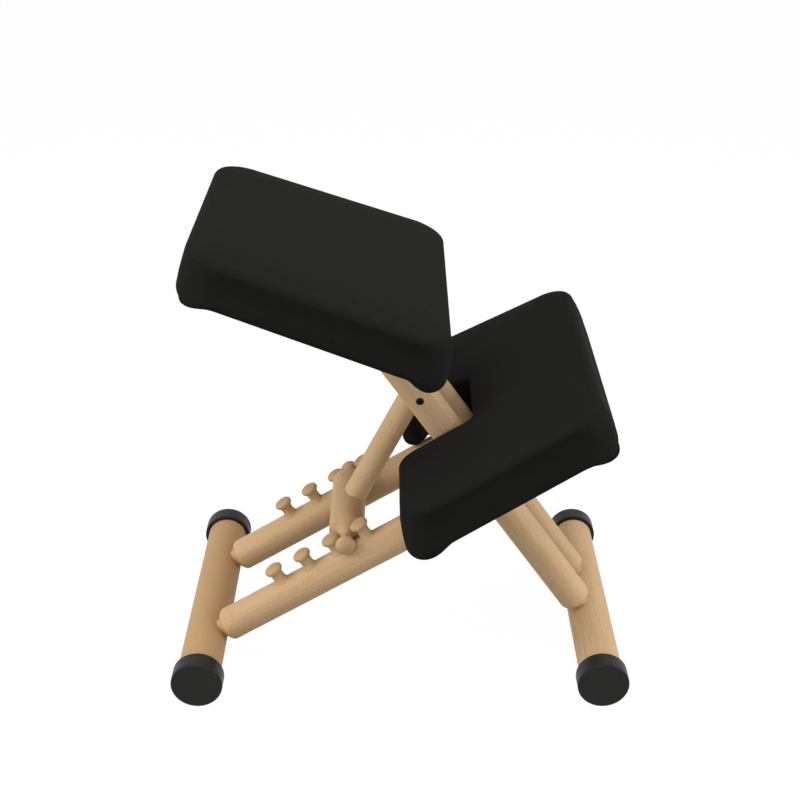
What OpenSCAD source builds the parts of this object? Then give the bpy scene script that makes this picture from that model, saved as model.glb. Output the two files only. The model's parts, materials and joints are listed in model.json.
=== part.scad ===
// Kneeling chair of round beech bars: a knee frame and a seat frame cross like an X and share one
// pivot, and a strut with a cross bar props the seat frame in a row of pegs on the knee rails.
// The sitter faces -Y, the sitter's left is +X, and the floor is the plane Z = 0 under the middle
// of the base.

/* [Base] */
// Distance between the back and front cross rails, axis to axis
stance = 550; // [520:5:600]
// Length of a cross rail over its two rubber caps
base_width = 410; // [390:5:460]
// Diameter of the cross rails
cross_rail_d = 58.5; // [54:0.5:62]
// Outer diameter of the rubber caps
cap_d = 70; // [68:0.5:76]
// Depth of a cap along the cross rail
cap_depth = 28.5; // [22:0.5:36]
// Thickness of the closed end of a cap
cap_end = 5; // [3:0.5:8]
// Rounding of the outer edge of a cap
cap_round = 3; // [1:0.5:4]
// Depth of the flat tread under a cap, which stands on the floor
tread_depth = 0.5; // [0.3:0.1:1]

/* [Knee frame] */
// Rise of the knee rails from the back cross rail, in degrees
knee_rail_angle = 31.45; // [30:0.05:33]
// Diameter of the knee rails
knee_rail_d = 47; // [44:0.5:48]
// Gap between a knee rail and the seat leg beside it
frame_gap = 4.25; // [3:0.25:6]
// Length of a knee rail in front of the main pivot
knee_rail_front = 140; // [120:5:150]

/* [Seat frame] */
// Rise of the seat legs from the front cross rail, in degrees
seat_leg_angle = 55.2; // [54:0.1:57]
// Diameter of the seat legs
seat_leg_d = 45.5; // [42:0.5:46]
// Distance of the strut bolt from the front cross rail, along the legs
strut_bolt_at = 435.5; // [425:0.5:445]

/* [Joints in the wood] */
// Distance of the square end of a rail or leg from the axis of the cross rail that it enters
shoulder_at = 33; // [31:0.5:38]
// Diameter of the tenon between a rail or leg and its cross rail
tenon_d = 26; // [20:1:30]
// Length of a tenon past the axis of its cross rail
tenon_past = 12; // [4:1:18]
// Chamfer of the square end of a rail or leg
end_chamfer = 3; // [1:0.5:5]

/* [Height pegs] */
// Pegs on each knee rail
peg_count = 4; // [4:1:5]
// Distance of the lowest peg from the back cross rail, along the rail
peg_first = 143; // [130:1:146]
// Distance from one peg to the next
peg_pitch = 46.6; // [45:0.2:49]
// Diameter of a peg's round head
peg_head_d = 24; // [21:0.5:25]
// Diameter of a peg at its waist
peg_waist_d = 15; // [12:0.5:17]
// Diameter of a peg where it meets the rail
peg_foot_d = 21; // [18:0.5:22]
// Height of a peg's head above the crown of the rail, to its widest place
peg_head_rise = 19.5; // [18.5:0.5:21]
// Height of the dome on a peg's head
peg_dome = 6.5; // [4:0.5:8]
// Diameter of the stem that is glued into the rail
peg_stem_d = 12; // [8:1:13]
// Depth of the stem below the crown of the rail
peg_stem_depth = 22; // [14:1:26]

/* [Strut and cross bar] */
// Diameter of the strut, which fills the space between the seat legs
strut_d = 33.5; // [31:0.5:36]
// Count of the peg that the cross bar leans on, from the back
bar_peg_count = 3; // [3:1:3]
// Diameter of the thick middle of the cross bar
cross_bar_d = 47; // [44:0.5:48]
// Diameter of the neck of the cross bar, which lies on the knee rails
bar_neck_d = 17.2; // [16:0.2:18]
// Diameter of the knobs at the ends of the cross bar
bar_knob_d = 27.4; // [24:0.2:28]
// Height of the dome on a knob
bar_knob_dome = 6.5; // [4:0.5:8]
// Diameter of the tenon at the foot of the strut
strut_tenon_d = 18; // [14:1:22]

/* [Bolts] */
// Diameter of the bolt at the main pivot
pivot_bolt_d = 8; // [6:1:9]
// Diameter of its head and of its nut
pivot_head_d = 13; // [12:0.5:15]
// Diameter of the bolt at the top of the strut
strut_bolt_d = 6; // [5:0.5:7]
// Diameter of its head and of its nut
strut_head_d = 10; // [9:0.5:11]
// Thickness of a bolt head
head_height = 6; // [5:0.5:7]
// Width of the hexagon socket, flat to flat
socket_width = 5; // [4:0.5:5.5]
// Outer diameter of the washers at the main pivot
washer_d = 24; // [18:1:28]

/* [Seat cushion] */
// Height of the seat's top, halfway along it, over the floor
seat_height = 594.5; // [585:0.5:600]
// Distance of that place behind the middle of the base
seat_setback = 94.2; // [88:0.2:100]
// Slope of the seat, down to the front, in degrees
seat_tilt = 19.5; // [18:0.1:21]
// Length of the seat cushion
seat_length = 340; // [330:1:350]
// Width of the seat cushion at its back
seat_back_width = 388; // [370:1:410]
// Width of the seat cushion at its front
seat_front_width = 439; // [420:1:450]
// Thickness of the seat cushion at its edge
seat_thickness = 61; // [55:0.5:66]
// Radius of the seat cushion's corners, seen from above
seat_corner = 64; // [50:1:70]

/* [Knee cushion] */
// Height of the knee cushion's top, halfway along it, over the floor
knee_height = 385.1; // [383:0.1:390]
// Distance of that place in front of the middle of the base
knee_forward = 120.3; // [118:0.1:124]
// Slope of the knee cushion, up to the front, in degrees
knee_tilt = 29.4; // [28.8:0.1:30]
// Length of the knee cushion
knee_length = 292; // [288:1:298]
// Width of the knee cushion at its back
knee_back_width = 491; // [480:1:500]
// Width of the knee cushion at its front
knee_front_width = 426; // [416:1:440]
// Thickness of the knee cushion at its edge
knee_thickness = 65; // [63:0.5:66]
// Radius of the outer corners at the back of the knee cushion
knee_back_corner = 48; // [40:1:56]
// Radius of the corners at the front of the knee cushion
knee_front_corner = 62; // [50:1:70]
// Radius of the corners at the mouth of the leg notch
notch_mouth_corner = 26; // [18:1:30]
// Depth of the leg notch from the back of the knee cushion
notch_depth = 117; // [115:0.5:122]
// Gap between a seat leg and the side of the leg notch at its inner end
notch_gap = 2.25; // [1.75:0.25:5]
// How much the notch opens out on each side, from its inner end to its mouth
notch_flare = 12.5; // [8:0.5:15]
// Radius of the corners at the inner end of the leg notch
notch_inner_corner = 18; // [12:1:20]

/* [Cushion form] */
// Rise of a cushion's crown above its edge
crown_rise = 4; // [2:0.5:7]
// How far the sides of a cushion are drawn in halfway up
side_draw = 2.5; // [1:0.5:4]
// Rounding of the upper edge of a cushion
top_round = 11; // [8:0.5:13]
// Rounding of the lower edge of a cushion
bottom_round = 8; // [5:0.5:10]
// How far the padded edge hangs below the board at the front and the back of a cushion
nose_drop = 8.5; // [4:0.5:9]
// Distance from the front or the back over which the hanging edge fades out
nose_length = 40; // [30:1:41]
// Thickness of the board inside a cushion
board_thickness = 12; // [9:0.5:15]
// Width of the padding round the edge of the board
skirt = 11; // [9:0.5:14]

/* [Saddles and screws] */
// Width of the saddles between the knee rails and the knee board
saddle_width = 24; // [20:1:28]
// Length of a saddle behind its back screw
saddle_behind = 8; // [6:1:10]
// Length of a saddle in front of its front screw
saddle_ahead = 36; // [20:1:60]
// Diameter of the shank of a board screw
screw_d = 5; // [4:0.5:6]
// Diameter of the head of a board screw
screw_head_d = 10; // [8:0.5:11]
// Thickness of the head of a board screw
screw_head = 3; // [2:0.5:4]
// Distance of the back screws behind the main pivot, along the knee rails
knee_screw_behind = 25; // [22:1:30]
// Distance of the front screws in front of the main pivot, along the knee rails
knee_screw_ahead = 75; // [60:1:90]
// Depth of a knee screw's head inside the rail
knee_screw_sink = 16; // [10:1:20]
// Depth of a screw's point in the wood that it holds
screw_bite = 9; // [6:0.5:10]
// Depth of a seat screw in its leg
seat_screw_bite = 18; // [14:1:20]
// Distance of the front seat screws in front of the axis of their leg, along the board
seat_screw_ahead = 20; // [16:1:24]
// Distance of the back seat screws behind the axis of their leg, along the board
seat_screw_behind = 8; // [4:1:10]

/* [Clearances] */
// Gap round a shaft that turns in a bore, and round a glued stem
fit_gap = 0.05; // [0.02:0.01:0.1]
// Gap between the neck of the cross bar and the knee rails
bar_gap = 0.4; // [0.3:0.1:0.8]
// Play between the neck of the cross bar and the peg that it leans on
bar_play = 1.2; // [0.8:0.1:1.6]
// Gap at each side of the strut between the seat legs
strut_play = 0.5; // [0.3:0.1:1]
// Gap at each side of a pivot washer
washer_play = 0.3; // [0.3:0.1:0.6]
// Gap round a screw or bolt head in its counterbore
head_gap = 0.5; // [0.3:0.1:0.8]
// Gap round a board in its cushion
board_play = 0.3; // [0.2:0.1:0.6]

/* [Hidden] */

facets = 96;
// How far a cutting body runs past the surface that it cuts
overrun = 20;
beech = "#c9a274";
plywood = "#b98f5c";
rubber = "#2b2a2a";
fabric = "#201f1f";
black_steel = "#1c1c1e";
zinc = "#a7aaad";
nylon = "#d8d6d0";

left = 1;
right = -1;

// Side view: the cross rails' height, then the main pivot where the rails cross the legs
axle_z = cap_d / 2 - tread_depth;
pivot_run = stance * tan(seat_leg_angle) / (tan(seat_leg_angle) + tan(knee_rail_angle));
pivot_on_rail = pivot_run / cos(knee_rail_angle);
pivot_on_leg = (stance - pivot_run) / cos(seat_leg_angle);
rail_r = knee_rail_d / 2;
leg_r = seat_leg_d / 2;
leg_x = strut_d / 2 + strut_play + leg_r;
rail_x = leg_x + leg_r + frame_gap + rail_r;
notch_inner_width = 2 * (leg_x + leg_r + notch_gap);
notch_mouth_width = notch_inner_width + 2 * notch_flare;

// The cross bar lies on both rails and leans on the heads of one pair of pegs
neck_r = bar_neck_d / 2;
bar_over_rail = rail_r + bar_gap + neck_r;
peg_head_over_rail = rail_r + peg_head_rise;
head_drop = peg_head_over_rail - bar_over_rail;
bar_off_peg = sqrt(pow(peg_head_d / 2 + neck_r + bar_play, 2) - head_drop * head_drop);
bar_on_rail = peg_at(bar_peg_count - 1) + bar_off_peg;

// Side view places, as [y, z]
pivot_yz = rail_point(pivot_on_rail, 0);
bar_yz = rail_point(bar_on_rail, bar_over_rail);
bolt_yz = leg_point(strut_bolt_at);
strut_run = bar_yz - bolt_yz;
strut_length = norm(strut_run);
strut_angle = atan2(-strut_run[1], strut_run[0]);

// Where the axis of the legs meets the underside of the seat board, along the board from its middle
seat_under_yz = [seat_setback + seat_thickness * sin(seat_tilt),
                 seat_height - seat_thickness * cos(seat_tilt)];
leg_foot_yz = [-stance / 2, axle_z];
seat_square = [-sin(seat_tilt), cos(seat_tilt)];
leg_to_seat = ((seat_under_yz - leg_foot_yz) * seat_square) / sin(seat_leg_angle - seat_tilt);
leg_top_yz = leg_point(leg_to_seat);
leg_top_on_board = (leg_top_yz - seat_under_yz) * [cos(seat_tilt), sin(seat_tilt)];

// Steps of the curves: a turned edge or cove, the cross bar's coves, a cushion's corners, the
// straight parts between them, the rounding of its edges and its crown
turn_step = 15;
cove_steps = 12;
corner_steps = 7;
front_corner_steps = 6;
seat_side_steps = 6;
knee_side_steps = 2;
fan_side_steps = 2;
fan_front_steps = 3;
arc_steps = 3;
crown_steps = 6;
pocket_step = 0.5;
// Share of a peg's head height at which its waist lies
waist_share = 0.45;
// Share of a bolt head's thickness that the thread reaches into the nut, and depth of the socket
thread_share = 0.33;
socket_share = 0.5;
// Share of the notch's inner width from its inner end to the start of its inner corners' sections
fan_share = 0.3;
// Share of a cushion's length over which its crown rises
crown_share = 0.25;

function peg_at(i) = peg_first + peg_pitch * i;
function rail_point(along, over) = [
    stance / 2 - along * cos(knee_rail_angle) + over * sin(knee_rail_angle),
    axle_z + along * sin(knee_rail_angle) + over * cos(knee_rail_angle)];
function leg_point(along) = [
    -stance / 2 + along * cos(seat_leg_angle),
    axle_z + along * sin(seat_leg_angle)];

// Frames of the sloping members: -Y runs forward along a rail, the strut and the cushions, +Y runs
// up along a leg, and +Z stands square on the member
module rail_frame() {
    translate([0, stance / 2, axle_z]) rotate([-knee_rail_angle, 0, 0]) children();
}
module leg_frame() {
    translate([0, -stance / 2, axle_z]) rotate([seat_leg_angle, 0, 0]) children();
}
module strut_frame() {
    translate([0, bar_yz[0], bar_yz[1]]) rotate([-strut_angle, 0, 0]) children();
}
module seat_frame() {
    translate([0, seat_under_yz[0], seat_under_yz[1]]) rotate([seat_tilt, 0, 0]) children();
}
module knee_frame() {
    translate([0, -knee_forward, knee_height]) rotate([-knee_tilt, 0, 0])
        translate([0, 0, -knee_thickness]) children();
}
module forward() {
    rotate([90, 0, 0]) children();
}
module rearward() {
    rotate([-90, 0, 0]) children();
}
module sideways(side) {
    rotate([0, 90 * side, 0]) children();
}
module at_pivot() {
    translate([0, pivot_yz[0], pivot_yz[1]]) children();
}
module at_strut_bolt() {
    translate([0, bolt_yz[0], bolt_yz[1]]) children();
}

// A round body turned from a profile of [radius, height] points
module turned(profile) {
    rotate_extrude($fn = facets) polygon(profile);
}
module rod(d, length) {
    cylinder(d = d, h = length, $fn = facets);
}
module through_hole(d, length) {
    translate([0, 0, -length / 2]) rod(d, length);
}

// A rail or leg from its tenon's tip to its far end, standing on the axis of its cross rail
module tenoned_bar(d, length, tenon, tip, shoulder) {
    turned([
        [0, -tip], [tenon / 2 - end_chamfer, -tip], [tenon / 2, end_chamfer - tip],
        [tenon / 2, shoulder], [d / 2 - end_chamfer, shoulder], [d / 2, shoulder + end_chamfer],
        [d / 2, length - end_chamfer], [d / 2 - end_chamfer, length], [0, length]]);
}

// Cross rails and their caps
module cross_rail(y) {
    length = base_width - 2 * cap_end;
    translate([0, y, axle_z]) sideways(left) through_hole(cross_rail_d, length);
}
module tenon_hole(length) {
    translate([0, 0, -tenon_past - fit_gap]) rod(tenon_d + 2 * fit_gap, length);
}
module back_cross_rail() {
    color(beech) difference() {
        cross_rail(stance / 2);
        for (side = [left, right]) rail_frame() translate([side * rail_x, 0, 0])
            forward() tenon_hole(cross_rail_d + overrun);
    }
}
module front_cross_rail() {
    color(beech) difference() {
        cross_rail(-stance / 2);
        for (side = [left, right]) leg_frame() translate([side * leg_x, 0, 0])
            rearward() tenon_hole(cross_rail_d + overrun);
    }
}
module cap(side, y) {
    outer = cap_d / 2;
    color(rubber) difference() {
        translate([side * (base_width / 2 - cap_depth), y, axle_z]) sideways(side) difference() {
            turned(concat(
                [[0, 0], [outer - cap_round / 2, 0], [outer, cap_round / 2]],
                [for (a = [0 : turn_step : 90]) [outer - cap_round + cap_round * cos(a),
                                          cap_depth - cap_round + cap_round * sin(a)]],
                [[0, cap_depth]]));
            translate([0, 0, -overrun])
                rod(cross_rail_d + 2 * fit_gap, cap_depth - cap_end + overrun + fit_gap);
        }
        translate([side * base_width / 2, y, -overrun / 2])
            cube([base_width, cap_d, overrun], center = true);
    }
}

// Knee rails with their bores for the pivot bolt, the pegs and the board screws
module knee_rail(side) {
    color(beech) difference() {
        rail_frame() translate([side * rail_x, 0, 0]) forward()
            tenoned_bar(knee_rail_d, pivot_on_rail + knee_rail_front, tenon_d, tenon_past, shoulder_at);
        at_pivot() sideways(left) through_hole(pivot_bolt_d + 2 * fit_gap, base_width);
        at_pivot() translate([side * (rail_x + rail_r - head_height - head_gap), 0, 0])
            sideways(side) rod(pivot_head_d + 2 * head_gap, overrun);
        for (i = [0 : peg_count - 1]) rail_frame()
            translate([side * rail_x, -peg_at(i), rail_r - peg_stem_depth - fit_gap])
                rod(peg_stem_d + 2 * fit_gap, peg_stem_depth + overrun);
        for (place = [0, 1]) knee_screw_place(side, place) translate([0, 0, -rail_r - overrun]) {
            rod(screw_d + 2 * fit_gap, knee_rail_d + 2 * overrun);
            rod(screw_head_d + 2 * head_gap, overrun + knee_screw_sink);
        }
    }
}
// The place of a board screw on a knee rail: behind the main pivot (0) or in front of it (1)
function knee_screw_along(place) = pivot_on_rail + (place == 0 ? -knee_screw_behind : knee_screw_ahead);
module knee_screw_place(side, place) {
    rail_frame() translate([side * rail_x, -knee_screw_along(place), 0]) children();
}

// A turned peg: glued stem, flared foot, waist and domed head, standing on the axis of the rail
function cove(r_low, r_waist, z_low, z_waist) = [
    for (a = [0 : turn_step : 90])
        [r_waist + (r_low - r_waist) * (1 - sin(a)), z_low + (z_waist - z_low) * (1 - cos(a))]];
module height_peg(side, i) {
    foot_r = peg_foot_d / 2;
    waist_r = peg_waist_d / 2;
    head_r = peg_head_d / 2;
    // The foot is set into the round of the rail far enough to meet it all the way round
    foot_z = sqrt(rail_r * rail_r - foot_r * foot_r);
    waist_z = rail_r + (peg_head_rise - peg_dome / 2) * waist_share;
    rim_z = peg_head_over_rail - peg_dome / 2;
    under = cove(head_r, waist_r, rim_z, waist_z);
    color(beech) difference() {
        rail_frame() translate([side * rail_x, -peg_at(i), 0]) turned(concat(
            [[0, rail_r - peg_stem_depth], [peg_stem_d / 2, rail_r - peg_stem_depth],
             [peg_stem_d / 2, foot_z]],
            cove(foot_r, waist_r, foot_z, waist_z),
            [for (k = [len(under) - 2 : -1 : 0]) under[k]],
            [for (a = [0 : turn_step : 90]) [head_r * cos(a), peg_head_over_rail + peg_dome * sin(a)]]));
        difference() {
            rail_frame() translate([side * rail_x, -peg_at(i), 0]) forward()
                through_hole(knee_rail_d + 2 * fit_gap, peg_head_d + overrun);
            rail_frame() translate([side * rail_x, -peg_at(i), -overrun]) rod(peg_stem_d, rail_r + overrun);
        }
    }
}

// Bolts with a socket head at the right side and a socket nut at the left side
module socketed_disc(d) {
    difference() {
        turned([[0, 0], [d / 2, 0], [d / 2, head_height - head_gap],
                [d / 2 - head_gap, head_height], [0, head_height]]);
        translate([0, 0, head_height * socket_share])
            cylinder(d = socket_width / cos(30), h = head_height, $fn = 6);
    }
}
module bolt(d, head_d, half_grip) {
    sideways(left) translate([0, 0, -half_grip]) rod(d, 2 * half_grip + head_height * thread_share);
    sideways(right) translate([0, 0, half_grip]) socketed_disc(head_d);
}
module nut(d, head_d, half_grip) {
    sideways(left) translate([0, 0, half_grip]) difference() {
        socketed_disc(head_d);
        translate([0, 0, -overrun]) rod(d + 2 * fit_gap, overrun + head_height * thread_share + fit_gap);
    }
}
pivot_half_grip = rail_x + rail_r - head_height - head_gap;
strut_half_grip = leg_x + leg_r - head_height - head_gap;
module pivot_bolt() {
    color(black_steel) at_pivot() bolt(pivot_bolt_d, pivot_head_d, pivot_half_grip);
}
module pivot_nut() {
    color(black_steel) at_pivot() nut(pivot_bolt_d, pivot_head_d, pivot_half_grip);
}
module pivot_washer(side) {
    color(nylon) at_pivot() translate([side * (leg_x + leg_r + washer_play), 0, 0]) sideways(side)
        difference() {
            rod(washer_d, frame_gap - 2 * washer_play);
            through_hole(pivot_bolt_d + 2 * fit_gap, overrun);
        }
}
module strut_bolt() {
    color(black_steel) at_strut_bolt() bolt(strut_bolt_d, strut_head_d, strut_half_grip);
}
module strut_nut() {
    color(black_steel) at_strut_bolt() nut(strut_bolt_d, strut_head_d, strut_half_grip);
}

// Seat legs, cut off along the underside of the seat board
module seat_leg(side) {
    color(beech) difference() {
        leg_frame() translate([side * leg_x, 0, 0]) rearward()
            tenoned_bar(seat_leg_d, leg_to_seat + seat_leg_d, tenon_d, tenon_past, shoulder_at);
        seat_frame() translate([0, leg_top_on_board, seat_length / 2])
            cube([base_width, seat_length, seat_length], center = true);
        at_pivot() sideways(left) through_hole(pivot_bolt_d + 2 * fit_gap, base_width);
        at_strut_bolt() sideways(left) through_hole(strut_bolt_d + 2 * fit_gap, base_width);
        at_strut_bolt() translate([side * strut_half_grip, 0, 0])
            sideways(side) rod(strut_head_d + 2 * head_gap, overrun);
        seat_screw_places(side) translate([0, 0, -seat_screw_bite - fit_gap])
            rod(screw_d + 2 * fit_gap, seat_screw_bite + overrun);
    }
}
module seat_screw_places(side) {
    for (along = [-seat_screw_behind, seat_screw_ahead])
        seat_frame() translate([side * leg_x, leg_top_on_board - along, 0]) children();
}

// Strut, and the cross bar whose coves lie on the round of the knee rails
module strut() {
    shoulder = cross_bar_d / 2 + bar_gap;
    color(beech) difference() {
        strut_frame() forward()
            tenoned_bar(strut_d, strut_length + strut_d / 2, strut_tenon_d, 0, shoulder);
        at_strut_bolt() sideways(left) through_hole(strut_bolt_d + 2 * fit_gap, base_width);
    }
}
function bar_cove(x) = bar_over_rail - sqrt(pow(rail_r + bar_gap, 2) - pow(rail_x - x, 2));
module cross_bar() {
    bar_r = cross_bar_d / 2;
    knob_r = bar_knob_d / 2;
    inner = rail_x - sqrt(pow(rail_r + bar_gap, 2) - pow(bar_over_rail - bar_r, 2));
    outer = rail_x + sqrt(pow(rail_r + bar_gap, 2) - pow(bar_over_rail - knob_r, 2));
    cove_points = [for (k = [0 : cove_steps]) let (x = inner + (outer - inner) * k / cove_steps)
        [bar_cove(x), x]];
    dome_points = [for (a = [turn_step : turn_step : 90]) [knob_r * cos(a), outer + bar_knob_dome * sin(a)]];
    half = concat(cove_points, dome_points);
    color(beech) difference() {
        translate([0, bar_yz[0], bar_yz[1]]) sideways(left) turned(concat(
            [for (k = [len(half) - 1 : -1 : 0]) [half[k][0], -half[k][1]]], half));
        strut_frame() forward() translate([0, 0, -fit_gap]) rod(strut_tenon_d + 2 * fit_gap, cross_bar_d);
    }
}

// Cushions. A cushion is a row of closed sections, one at each station, across the padding from
// edge a to edge b. A station is [edge a, edge b, distance from the open end].
function round_in(d, r) = d >= r ? 0 : r - sqrt(r * r - (r - d) * (r - d));
function corner_list(r) = [for (k = [0 : corner_steps]) r * (1 - cos(90 * k / corner_steps))];

// Depth of the padded edge below the board at a distance from the front or the back, where it fades
// out over a length
function hang(d, fade) = nose_drop * pow(max(0, 1 - pow(d / fade, 2)), 2);
function low_at(p, d, length, fade) = round_in(d, bottom_round) - hang(length / 2 - abs(p[1]), fade);
function high_at(d, thickness) = thickness - round_in(d, top_round);
function crown_at(d, length) = crown_rise * min(1, d / (length * crown_share));

// Section points as [across from the middle, height], once round
function section(half, low_a, low_b, high, crown, pocket) =
    let (inner = half - skirt, flat = half - top_round)
    concat(
        [[-inner, pocket], [inner, pocket], [inner + pocket_step, low_b]],
        [for (k = [0 : arc_steps]) let (a = 90 * k / arc_steps)
            [half - bottom_round * (1 - sin(a)), low_b + bottom_round * (1 - cos(a))]],
        [[half - side_draw, (low_b + high) / 2]],
        [for (k = [0 : arc_steps]) let (a = 90 * k / arc_steps)
            [half - top_round * (1 - cos(a)), high - top_round * (1 - sin(a))]],
        [for (k = [1 : crown_steps - 1]) let (q = 1 - 2 * k / crown_steps)
            [flat * q, high + crown * (1 - q * q)]],
        [for (k = [arc_steps : -1 : 0]) let (a = 90 * k / arc_steps)
            [top_round * (1 - cos(a)) - half, high - top_round * (1 - sin(a))]],
        [[side_draw - half, (low_a + high) / 2]],
        [for (k = [arc_steps : -1 : 0]) let (a = 90 * k / arc_steps)
            [bottom_round * (1 - sin(a)) - half, low_a + bottom_round * (1 - cos(a))]],
        [[-inner - pocket_step, low_a]]);
function cushion_ring(s, length, thickness, fade_a) =
    let (d = s[2], low_a = low_at(s[0], d, length, fade_a), low_b = low_at(s[1], d, length, nose_length),
         pocket = d >= skirt ? board_thickness + board_play : min(low_a, low_b))
    ring(s[0], s[1], section(norm(s[1] - s[0]) / 2, low_a, low_b, high_at(d, thickness),
                             crown_at(d, length), pocket));

// A station's ring in space: the section laid from a to b
function ring(a, b, points) =
    let (middle = (a + b) / 2, along = (b - a) / norm(b - a))
    [for (p = points) [middle[0] + along[0] * p[0], middle[1] + along[1] * p[0], p[1]]];

// Closed skin over the rings, with a fan of triangles at both ends
module skin(rings) {
    count = len(rings);
    m = len(rings[0]);
    end_rings = [rings[0], rings[count - 1]];
    middles = [for (r = end_rings) [for (c = [0 : 2]) [for (p = r) p[c]] * [for (p = r) 1] / m]];
    points = concat([for (r = rings) each r], middles);
    first = count * m;
    sides = [for (i = [0 : count - 2]) for (j = [0 : m - 1]) let (n = (j + 1) % m)
        each [[i * m + j, (i + 1) * m + n, i * m + n], [i * m + j, (i + 1) * m + j, (i + 1) * m + n]]];
    ends = [for (j = [0 : m - 1]) let (n = (j + 1) % m)
        each [[first, j, n], [first + 1, (count - 1) * m + n, (count - 1) * m + j]]];
    polyhedron(points = points, faces = concat(sides, ends), convexity = 6);
}

// The outline of the board inside a cushion: the stations that lie inside the padding, drawn in
// from both edges
function board_stations(stations) = [for (s = stations) if (s[2] >= skirt) s];
function board_outline(stations, first_shift, last_shift) =
    let (last = len(stations) - 1, inset = skirt + board_play,
         shift = [for (i = [0 : last]) [0, i == 0 ? first_shift : i == last ? last_shift : 0]],
         across = [for (s = stations) (s[1] - s[0]) / norm(s[1] - s[0])])
    concat([for (i = [0 : last]) stations[i][1] - across[i] * inset + shift[i]],
           [for (i = [last : -1 : 0]) stations[i][0] + across[i] * inset + shift[i]]);

// Seat cushion: stations from the back to the front, straight across
seat_taper = (seat_front_width - seat_back_width) / 2 / seat_length;
function seat_half(y) = (seat_back_width + seat_front_width) / 4 - seat_taper * y;
function seat_station(y) =
    let (d = seat_length / 2 - abs(y), half = seat_half(y) - round_in(d, seat_corner))
    [[-half, y], [half, y], d];
seat_back_list = [for (d = corner_list(seat_corner)) seat_length / 2 - d];
seat_stations = concat(
    [for (y = seat_back_list) seat_station(y)],
    [for (k = [1 : seat_side_steps])
        seat_station((seat_length / 2 - seat_corner) * (1 - 2 * k / (seat_side_steps + 1)))],
    [for (k = [corner_steps : -1 : 0]) seat_station(-seat_back_list[k])]);
module seat_cushion() {
    color(fabric) seat_frame()
        skin([for (s = seat_stations) cushion_ring(s, seat_length, seat_thickness, nose_length)]);
}
module seat_board() {
    color(plywood) difference() {
        seat_frame() linear_extrude(board_thickness)
            polygon(board_outline(board_stations(seat_stations), -board_play, board_play));
        for (side = [left, right]) seat_screw_places(side) {
            through_hole(screw_d + 2 * fit_gap, board_thickness + overrun);
            translate([0, 0, board_thickness - screw_head - fit_gap])
                rod(screw_head_d + 2 * fit_gap, overrun);
        }
    }
}
module seat_board_screws() {
    color(zinc) for (side = [left, right]) seat_screw_places(side) {
        translate([0, 0, -seat_screw_bite]) rod(screw_d, seat_screw_bite + board_thickness - screw_head);
        translate([0, 0, board_thickness - screw_head]) rod(screw_head_d, screw_head);
    }
}

// Knee cushion: a horseshoe of sections round the leg notch, from one open end to the other
knee_taper = (knee_back_width - knee_front_width) / 2 / knee_length;
notch_taper = (notch_mouth_width - notch_inner_width) / 2 / notch_depth;
knee_front_y = -knee_length / 2;
notch_end_y = knee_length / 2 - notch_depth;
fan_y = notch_end_y + notch_inner_width * fan_share;
function knee_half(y) = (knee_back_width + knee_front_width) / 4 + knee_taper * y;
function notch_half(y) = notch_inner_width / 2 + notch_taper * (y - notch_end_y);
knee_straight = knee_length / 2 - knee_back_corner - fan_y;
knee_lobe = concat(corner_list(knee_back_corner),
    [for (k = [1 : knee_side_steps]) knee_back_corner + knee_straight * k / (knee_side_steps + 1)]);
function lobe_station(d) = let (y = knee_length / 2 - d) [
    [notch_half(y) + round_in(d, notch_mouth_corner), y],
    [knee_half(y) - round_in(d, knee_back_corner), y], d];

// One side of an outline from the fan's start, forward along the side, round the corner and to the
// middle of the end
function inner_side(y) = [notch_half(y), y];
function outer_side(y) = [knee_half(y), y];
function half_outline(start, corner_x, corner_y, r) = concat(
    [for (k = [0 : fan_side_steps - 1]) start + ([corner_x + r, corner_y] - start) * k / fan_side_steps],
    [for (k = [0 : front_corner_steps]) let (a = 90 * k / front_corner_steps)
        [corner_x + r * cos(a), corner_y - r * sin(a)]],
    [for (k = [1 : fan_front_steps]) [corner_x * (1 - k / fan_front_steps), corner_y - r]]);
notch_corner_y = notch_end_y + notch_inner_corner;
front_corner_y = knee_front_y + knee_front_corner;
inner_half = half_outline(inner_side(fan_y), notch_half(notch_corner_y) - notch_inner_corner,
                          notch_corner_y, notch_inner_corner);
outer_half = half_outline(outer_side(fan_y), knee_half(front_corner_y) - knee_front_corner,
                          front_corner_y, knee_front_corner);
knee_half_stations = concat([for (d = knee_lobe) lobe_station(d)],
    [for (i = [0 : len(inner_half) - 1]) [inner_half[i], outer_half[i], knee_length]]);
function flipped(s) = [[-s[0][0], s[0][1]], [-s[1][0], s[1][1]], s[2]];
knee_stations = concat(knee_half_stations,
    [for (i = [len(knee_half_stations) - 2 : -1 : 0]) flipped(knee_half_stations[i])]);
// Beside the notch the edge hangs only at the open ends, clear of the saddles
module knee_cushion() {
    color(fabric) knee_frame()
        skin([for (s = knee_stations) cushion_ring(s, knee_length, knee_thickness, skirt)]);
}
module knee_board() {
    color(plywood) difference() {
        knee_frame() linear_extrude(board_thickness)
            polygon(board_outline(board_stations(knee_stations), -board_play, -board_play));
        for (side = [left, right]) for (place = [0, 1])
            knee_screw_place(side, place) rod(screw_d + 2 * fit_gap, knee_screw_tip(place) + fit_gap);
    }
}
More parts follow.
